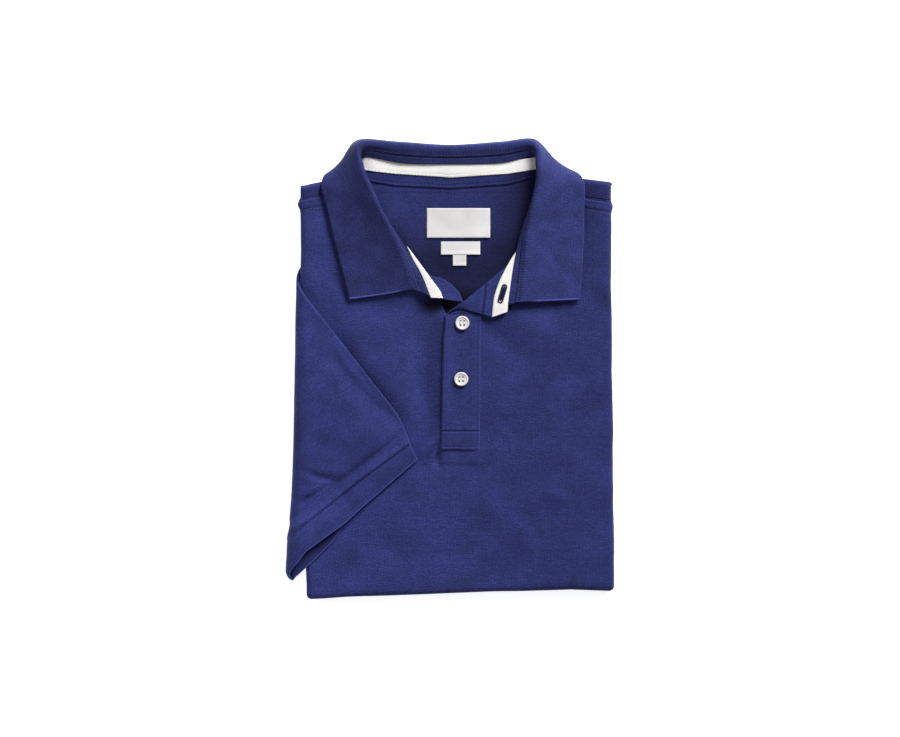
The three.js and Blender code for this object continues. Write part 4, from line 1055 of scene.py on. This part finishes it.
def sleeve_point(across, along, rise):
    """Where a place on the sleeve lies: flat on the front, or turned round the body's edge."""
    x, y = sleeve_plan(across, along)
    centre_x = read(SLEEVE_EDGE, "y", "x", y) + WRAP_RADIUS
    flat_z = body_top(x, y) + front_relief(x, y) * smoothstep(x, -130, -118) + rise
    centre_z = body_top(centre_x, y) + SLEEVE_RISE - WRAP_RADIUS
    radius = WRAP_RADIUS + rise - SLEEVE_RISE
    angle = (centre_x - x) / WRAP_RADIUS
    turn = np.clip(angle, 0, np.pi)
    beyond = np.maximum(angle - np.pi, 0) * WRAP_RADIUS
    wrapped_x = centre_x - radius * np.sin(turn) + beyond
    wrapped_z = centre_z + radius * np.cos(turn)
    flat = x >= centre_x
    return np.stack([np.where(flat, x, wrapped_x), y, np.where(flat, flat_z, wrapped_z)], axis=-1)


def wrap_start(across):
    along = np.zeros_like(across)
    for _ in range(4):
        y = HEM_CORNER[1] + across * ACROSS[1] + along * ALONG[1]
        centre_x = read(SLEEVE_EDGE, "y", "x", y) + WRAP_RADIUS
        along = np.maximum(0, (centre_x - HEM_CORNER[0] - across * ACROSS[0]) / ALONG[0])
    return along


def mouth_share(across):
    """How far the sleeve's mouth gapes, from 0 to 1."""
    return np.maximum(0, 1 - ((across - MOUTH["at"]) / MOUTH["half"]) ** 2)


def mouth_lift(across, along):
    return MOUTH["lift"] * mouth_share(across) * bell(along, MOUTH["reach"])


def hem_line(across):
    """Distance of the hem's stitch line from the hem edge."""
    return read(HEM_STITCHES, "across", "along", across)


def sleeve_relief(x, y, across, along, upper):
    ridge = along - hem_line(across)
    # The cloth rises to the hem's stitching, drops there and lies flat down to the edge.
    rise = 2.1 * smoothstep(-ridge, -5.6, -1.4) * (1 - smoothstep(-ridge, -1.8, 1.2))
    hem = rise - 0.3 * bell(ridge, 0.7) - 2.6 * bell(ridge - 9.2, 3.6)
    hem += 0.8 * smoothstep(-ridge, -0.4, 2.2) * smoothstep(along, 0, 10)
    hem -= 0.8 * (1 - smoothstep(along, -2, 7))
    soft = 0.7 * soft_noise(x, y, 32, 71) + 0.26 * soft_noise(x, y, 12, 73)
    puff = 2.4 * smoothstep(ridge, -2, 8) * smoothstep(across, 4, 26)
    folds = hem + crease_field(x, y, SLEEVE_CREASES) + soft + puff
    # No trough reaches the layer underneath.
    folds = np.where(folds < 0, -0.8 * np.tanh(-folds / 0.8), folds)
    return upper * (0.3 + 0.7 * smoothstep(x, -142, -128)) * folds


def make_sleeve():
    """A flat tube: its upper layer, the fold line, the under layer and the other fold line."""
    flat_columns, arc = 96, 6
    layer = np.linspace(SLEEVE_FOLD, SLEEVE_WIDTH - SLEEVE_FOLD, flat_columns)
    angles = math.pi * np.arange(1, arc) / arc
    bulge = SLEEVE_FOLD * np.sin(angles)
    across = np.concatenate([layer, SLEEVE_WIDTH - SLEEVE_FOLD + bulge, layer[::-1], SLEEVE_FOLD - bulge])
    half_turn = np.concatenate([np.ones(flat_columns), np.cos(angles)])
    turn = np.concatenate([half_turn, -half_turn])
    under = read(UNDER_HEM, "across", "along", across)
    start = under + (read(UPPER_HEM, "across", "along", across) - under) * smoothstep(turn, -1, 1)
    turn_in = np.maximum(wrap_start(across), start + LEAST_FLAT)
    stops = [start, turn_in, turn_in + WRAP_LENGTH, turn_in + WRAP_LENGTH + SLEEVE_TAIL]
    stretches = [(n, k / count) for n, count in enumerate((128, 26, 8)) for k in range(count)] + [(2, 1.0)]
    rows, weave, painted_light = [], [], []
    for stretch, share in stretches:
        warped = share ** 1.5 if stretch == 0 else share
        along = stops[stretch] + (stops[stretch + 1] - stops[stretch]) * warped
        lift = np.maximum(turn, 0) * mouth_lift(across, along)
        x, y = sleeve_plan(across, along)
        relief = sleeve_relief(x, y, across, along, np.clip(turn, 0, 1))
        relief = relief + np.clip(-turn, 0, 1) * UNDER_ROOM * mouth_share(across)
        rows.append(sleeve_point(across, along, GAP + SLEEVE_FOLD + turn * SLEEVE_FOLD + lift + relief))
        weave.append(np.stack([across * np.where(turn >= 0, 1, -1), along], axis=1))
        # Painted highlight along the hem edge of both layers.
        painted_light.append(1.6 * (1 - smoothstep(along - start, 0.5, 1.4)))
    coordinates = {"weave": np.stack(weave), "painted_light": np.stack(painted_light)}
    obj = cloth_object("sleeve", np.stack(rows), JERSEY, side=-1, closed=True, **coordinates)
    dress(obj, "pique")
    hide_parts("sleeve_right")
    return obj


# Placket, tape and labels.
def strip_grid(edges, rows, columns, crown, waver, seed, crease=None):
    """A strip between two edges, crowned across, with a sharp crease across it at a share of its length."""
    values = smooth_rows(edges, rows)
    out_x, out_y, in_x, in_y, out_rise, in_rise = (values[:, k][:, None] for k in range(6))
    u = np.linspace(0, 1, columns)[None, :]
    x = out_x + (in_x - out_x) * u
    y = out_y + (in_y - out_y) * u
    rise = out_rise + (in_rise - out_rise) * u + crown * np.sin(np.pi * u)
    rise = rise + waver * soft_noise(x, y, 9, seed)
    if crease:
        along = np.linspace(0, 1, rows)[:, None] - crease - 0.02 * u
        rise = rise - 1.0 * bell(along, 0.016) + 0.8 * bell(along - 0.04, 0.022)
    return np.stack([x, y, body_top(x, y) + rise], axis=-1)


def laid_object(name, grid, wall, slot, node):
    obj = cloth_object(name, grid, wall, laid=True)
    dress(obj, slot)
    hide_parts(node)
    return obj


def placket_surface(x, y):
    """Top of the over strip: raised edges beside the stitching, flat between."""
    left = read(PLACKET_STRIP, "y", "left", y)
    right = read(PLACKET_STRIP, "y", "right", y)
    top = read(PLACKET_TOP, "x", "y", x)
    inset = np.minimum(np.minimum(x - left, right - x), np.minimum(y - PLACKET_FOOT, top - y))
    rounded = -0.5 * bell(inset, 0.7) + 0.35 * bell(inset - 1.3, 0.6)
    groove = -0.5 * bell(inset - 2.5, 0.6)
    box = 0.35 * bell(y + 51.4, 0.8) - 0.65 * bell(y + 53.1, 0.7)
    hold = sum(np.exp(-(((x - bx) / 7) ** 2 + ((y - by) / 7) ** 2)) for bx, by in BUTTON_PLACES.values())
    # The right side is sewn into the front, so it has hardly a step there.
    sunk = 0.55 * PLACKET_RISE * smoothstep(x, right - 7.0, right) * (1 - smoothstep(y, 36, 46))
    raised = np.where(x > 4, rounded * 0.4 + groove * 0.7, rounded + groove)
    raised = raised + 0.7 * bell(x - left, 5.0) * smoothstep(y, -62, -10)
    follow = 0.5 + 0.5 * bell(x - left, 6.0)
    return body_top(x, y) + front_relief(x, y) * follow + PLACKET_RISE + raised + box - 0.25 * hold - sunk


def make_placket():
    u = np.linspace(0, 1, 50)[None, :]
    v = np.linspace(0, 1, 240)[:, None]
    across = PLACKET_TOP["x"][0] + (PLACKET_TOP["x"][-1] - PLACKET_TOP["x"][0]) * u
    y = PLACKET_FOOT + (read(PLACKET_TOP, "x", "y", across) - PLACKET_FOOT) * v
    left = read(PLACKET_STRIP, "y", "left", y)
    x = left + (read(PLACKET_STRIP, "y", "right", y) - left) * u
    over = np.stack([x, y, placket_surface(x, y)], axis=-1)
    under = strip_grid(UNDER_EDGES, 60, 20, 0.1, 0.12, 81)
    turned = strip_grid(TURNBACK_EDGES, 120, 30, 0.5, 0.15, 85, 0.66)
    return (
        laid_object("placket_strip", over, PIQUE - 0.2, "pique", "placket_over"),
        laid_object("under_strip", under, JERSEY, "pique", "placket_under"),
        laid_object("turned_top", turned, JERSEY, "pique", "placket_turnback"),
    )


def make_tapes():
    x = np.linspace(BACK_TAPE["x"][0], BACK_TAPE["x"][-1], 150)[:, None]
    u = np.linspace(0, 1, 14)[None, :]
    upper = read(BACK_TAPE, "x", "upper", x)
    lower = read(BACK_TAPE, "x", "lower", x) + 0.28 * np.abs(np.sin(np.pi * x / 3.1))
    y = upper + (lower - upper) * u
    x = x + 0 * u
    # It lies close to the band, so that the collar's foot covers its upper edge.
    z = back_surface(x, y) + TAPE + 0.12 * soft_noise(x, y, 8, 91) - 0.3 * bell(y - lower - 1.6, 0.7)
    right = strip_grid(TAPE_RIGHT_EDGES, 60, 12, 0.2, 0.1, 93)
    left = strip_grid(TAPE_LEFT_EDGES, 70, 12, 0.2, 0.1, 95)
    return (
        laid_object("back_tape", np.stack([x, y, z], axis=-1), TAPE, "twill_tape", "neck_tape_back"),
        laid_object("tape_right", right, TAPE, "twill_tape", "neck_tape_right"),
        laid_object("tape_left", left, TAPE, "twill_tape", "neck_tape_left"),
    )


def make_labels():
    made = {}
    u = np.linspace(0, 1, 40)[None, :]
    v = np.linspace(0, 1, 24)[:, None]
    for number, (node, (left, right, low_y, high_y)) in enumerate(LABELS.items()):
        x, y = left + (right - left) * u + 0 * v, low_y + (high_y - low_y) * v + 0 * u
        curl = 0.5 * (1 - smoothstep(v, 0, 0.4)) * (0.5 + 0.5 * u) + 0.12 * soft_noise(x, y, 14, 101 + number)
        grid = np.stack([x, y, back_surface(x, y) + GAP + LABEL + curl], axis=-1)
        made[node] = laid_object(node + "_cloth", grid, LABEL, "woven_label", node)
    return made


# Buttons.
BUTTON_RADIUS = 6.1
BUTTON_HEIGHT = 2.6
BUTTON_RIM = 1.25
BUTTON_DISH = 0.6
HOLE_PLACE = 1.6
HOLE_RADIUS = 0.85
# Distance in from the button's edge and height of the points on its profile.
BUTTON_PROFILE = [
    (0.7, 0), (0.15, 0.35), (0, 0.9), (0, 1.6), (0.2, 2.15), (0.6, 2.5), (0.95, BUTTON_HEIGHT),
    (BUTTON_RIM, BUTTON_HEIGHT - 0.08), (BUTTON_RIM + 0.35, BUTTON_HEIGHT - 0.35),
    (BUTTON_RIM + 0.8, BUTTON_HEIGHT - BUTTON_DISH),
]


def bore(obj, centre):
    """A thread hole through a button."""
    cylinder = {"vertices": 20, "radius": HOLE_RADIUS * MM, "depth": 2 * BUTTON_HEIGHT * MM}
    bpy.ops.mesh.primitive_cylinder_add(location=to_row(centre), **cylinder)
    cutter = bpy.context.object
    cut = obj.modifiers.new("hole", "BOOLEAN")
    cut.object = cutter
    cut.operation = "DIFFERENCE"
    cut.solver = "EXACT"
    bpy.context.view_layer.objects.active = obj
    bpy.ops.object.modifier_apply(modifier=cut.name)
    bpy.data.objects.remove(cutter)


def make_button(node, x, y):
    steps = 64
    turns = [2 * math.pi * k / steps for k in range(steps)]
    rings = [(BUTTON_RADIUS - inset, z) for inset, z in BUTTON_PROFILE]
    vertices = [(r * math.cos(angle), r * math.sin(angle), z) for r, z in rings for angle in turns]
    bottom, top = len(vertices), len(vertices) + 1
    vertices += [(0, 0, 0), (0, 0, BUTTON_HEIGHT - BUTTON_DISH)]
    last = (len(rings) - 1) * steps
    faces = []
    for k in range(steps):
        n = (k + 1) % steps
        faces += [(bottom, n, k), (top, last + k, last + n)]
        faces += [(s + k, s + n, s + steps + n, s + steps + k) for s in range(0, last, steps)]
    centre = np.array([x, y, float(body_top(x, y)) + PLACKET_RISE + GAP])
    obj = mesh_object(node + "_shell", np.array(vertices) + centre, faces)
    for sx in (-1, 1):
        for sy in (-1, 1):
            bore(obj, centre + (sx * HOLE_PLACE, sy * HOLE_PLACE, BUTTON_HEIGHT / 2))
    obj.data.polygons.foreach_set("use_smooth", [True] * len(obj.data.polygons))
    obj.data.set_sharp_from_angle(angle=math.radians(40))
    dress(obj, "button")
    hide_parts(node)
    # Two pairs of threads run through the holes.
    offsets = [sx * HOLE_PLACE + k for sx in (-1, 1) for k in (-0.28, 0.0, 0.28)]
    places = np.array([centre + (k, 0, BUTTON_HEIGHT - BUTTON_DISH + 0.28) for k in offsets])
    directions = np.tile([0.0, 1.0, 0.0], (len(places), 1))
    shape = 3.0, THREAD, "white_thread", "twill_tape"
    stitch_mesh(node + "_thread", places, directions, upright(places), *shape)


def make_buttonhole(name, centre, direction, height, length, width, slit=0.4):
    """A worked buttonhole: satin stitches round a slit."""
    direction = unit(np.array(direction, float))
    side = np.cross((0, 0, 1), direction)
    half = (length - width) / 2
    count = int(length / 0.42)
    # Each stitch has its place along the slit, the ray out to it, and the way that it lies.
    stitches = [(along, side * sign, side) for sign in (-1, 1) for along in np.linspace(-half, half, count)]
    for end in (-1, 1):
        for angle in np.linspace(-math.pi / 2, math.pi / 2, 9):
            ray = direction * end * math.cos(angle) + side * math.sin(angle)
            stitches.append((end * half, ray, ray))
    places = np.array([[*centre, 0] + direction * along + ray * width * 0.34 for along, ray, _ in stitches])
    places[:, 2] = [height(x, y) for x, y, _ in places]
    turns = np.array([turn for _, _, turn in stitches])
    stitch_mesh(name, places, turns, upright(places), width * 0.34, 0.7, "dark_thread", "pique")
    # A near-black bead in the opening stands for the shade below the cut.
    middle = np.array([[*centre, height(*centre) - 0.25]])
    opening = length - width * 0.2, width * slit
    stitch_mesh(name + "_slit", middle, direction[None], upright(middle), *opening, "slit", "pique")


# The layers folded inside.
def dress_hidden():
    MATERIALS["folded_layers"] = folded_material("folded_layers", NAVY_SHADED)
    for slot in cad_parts["hidden_layers"].material_slots:
        slot.material = MATERIALS["folded_layers"]


# Camera, floor and light.
def make_camera(scene):
    data = bpy.data.cameras.new("camera")
    camera = bpy.data.objects.new("camera", data)
    scene.collection.objects.link(camera)
    scene.camera = camera
    # The photograph's scale, 0.86 mm a pixel over 900 pixels, held at the height of the front panel.
    pixel, image_width, image_height = 0.86, 900, 737
    middle_pixel = (456.5, 369.5)
    distance = 3000.0
    data.sensor_width = 36.0
    data.lens = data.sensor_width * distance / (pixel * image_width)
    data.clip_end = 20.0
    camera.location = to_row([
        (image_width / 2 - middle_pixel[0]) * pixel,
        (middle_pixel[1] - image_height / 2) * pixel,
        distance + STACK_HEIGHT,
    ])
    camera.rotation_euler = (0, 0, 0)


def make_floor(scene):
    reach = 4.0
    corners = [(-reach, -reach, 0), (reach, -reach, 0), (reach, reach, 0), (-reach, reach, 0)]
    mesh = bpy.data.meshes.new("floor")
    mesh.from_pydata(corners, [], [(0, 1, 2, 3)])
    floor = bpy.data.objects.new("floor", mesh)
    floor.location.z = -0.0004
    scene.collection.objects.link(floor)
    shading = Shading("floor_paper")
    grain = shading.noise(shading.position(), 60.0, 2.0, 0.5)
    shading.feed(shading.shader, {
        "Base Color": shading.toned(grain, (1, 1, 1), (0.3, 0.9), (0.7, 0.92)),
        "Emission Color": (1, 1, 1, 1), "Emission Strength": 0.8,
        "Roughness": 0.9, "Specular IOR Level": 0.1,
    })
    mesh.materials.append(shading.material)


# Lights: place in metres, size and power.
LIGHTS = {"key": ((1.1, 1.74, 1.25), 1.05, 97.0), "fill": ((-0.75, 0.0, 1.0), 0.8, 3.6)}


def make_lights(scene):
    world = bpy.data.worlds.new("studio")
    scene.world = world
    world.use_nodes = True
    background = world.node_tree.nodes["Background"]
    background.inputs["Color"].default_value = (1, 1, 1, 1)
    background.inputs["Strength"].default_value = 0.11
    for name, (spot, size, power) in LIGHTS.items():
        data = bpy.data.lights.new(name, "AREA")
        data.size = size
        data.energy = power
        light = bpy.data.objects.new(name, data)
        light.location = spot
        light.rotation_mode = "QUATERNION"
        light.rotation_quaternion = (-Vector(spot)).to_track_quat("-Z", "Y")
        scene.collection.objects.link(light)
    scene.view_settings.view_transform = "Standard"
    scene.view_settings.look = "None"


make_camera(bpy.context.scene)
make_floor(bpy.context.scene)
make_lights(bpy.context.scene)
front = make_front()
back = make_back()
sleeve = make_sleeve()
collar, stand, collar_grid, stand_grid = make_collar()
over, under, turned = make_placket()
back_tape, tape_right, tape_left = make_tapes()
labels = make_labels()
for node, (bx, by) in BUTTON_PLACES.items():
    make_button(node, bx, by)
dress_hidden()


def body_sewing():
    """Paths of the rows of navy thread, each with its normals where it isn't upright."""
    for ends in ((-133.0, -112.0), (106.0, 131.0)):
        for drop in (2.2, 8.6):
            yield seam_on(surface, [(x, seam_line(x) - drop) for x in ends], 0.12, 40), None
    inset = 1.9
    heights = (-67, -20, 25, 44)
    left_side = [(read(PLACKET_STRIP, "y", "left", y) + inset, y) for y in heights]
    right_side = [(read(PLACKET_STRIP, "y", "right", y) - inset, y) for y in heights]
    yield seam_on(placket_surface, right_side, 0.1), None
    yield seam_on(placket_surface, left_side, 0.1), None
    for y in (-67.1, -52.9):
        yield seam_on(placket_surface, [(left_side[0][0], y), (right_side[0][0], y)], 0.1, 60), None
    across = np.linspace(3, SLEEVE_WIDTH - 16, 120)
    along = hem_line(across)
    relief = sleeve_relief(*sleeve_plan(across, along), across, along, 1.0)
    yield sleeve_point(across, along, GAP + 2 * SLEEVE_FOLD + mouth_lift(across, along) + relief + 0.1), None
    for grid, side, column in ((collar_grid, -1, 1), (stand_grid, 1, 2)):
        normals = grid_normals(grid)[4:-4, column] * side
        yield grid[4:-4, column] + normals * 0.1, normals


def make_sewing():
    """Rows of thread on the body, placket, sleeve and collar, then on the tape and the neck band."""
    for number, (path, normals) in enumerate(body_sewing()):
        sew(f"sewing_{number + 1}", path, normals=normals)
    x = np.linspace(BACK_TAPE["x"][0] + 2, BACK_TAPE["x"][-1] - 2, 90)
    for number, (edge, inset) in enumerate((("lower", 1.5), ("upper", -2.8))):
        y = read(BACK_TAPE, "x", edge, x) + inset
        path = np.stack([x, y, back_surface(x, y) + TAPE - 0.05], axis=1)
        sew(f"tape_sewing_{number + 1}", path, 3.1, 2.3, "white_thread", "twill_tape")
    y = read(NECK_BAND, "x", "y", x) + 2.2
    path = np.stack([x, y, back_surface(x, y) + 0.1], axis=1)
    sew("neck_band_sewing", path, 2.8, 2.1, slot="pique_inside")


def placket_height(x, y):
    return float(placket_surface(np.array(x), np.array(y))) + 0.1


def turned_height(x, y):
    return float(body_top(x, y)) + TURNED_HOLE["rise"]


make_sewing()
for node, place in BUTTON_PLACES.items():
    make_buttonhole(node + "_hole", place, (0, 1, 0), placket_height, 17.6, 3.6)
turned_place = TURNED_HOLE["centre"], TURNED_HOLE["direction"]
make_buttonhole("turned_hole", *turned_place, turned_height, 17.8, 5.0, 0.56)
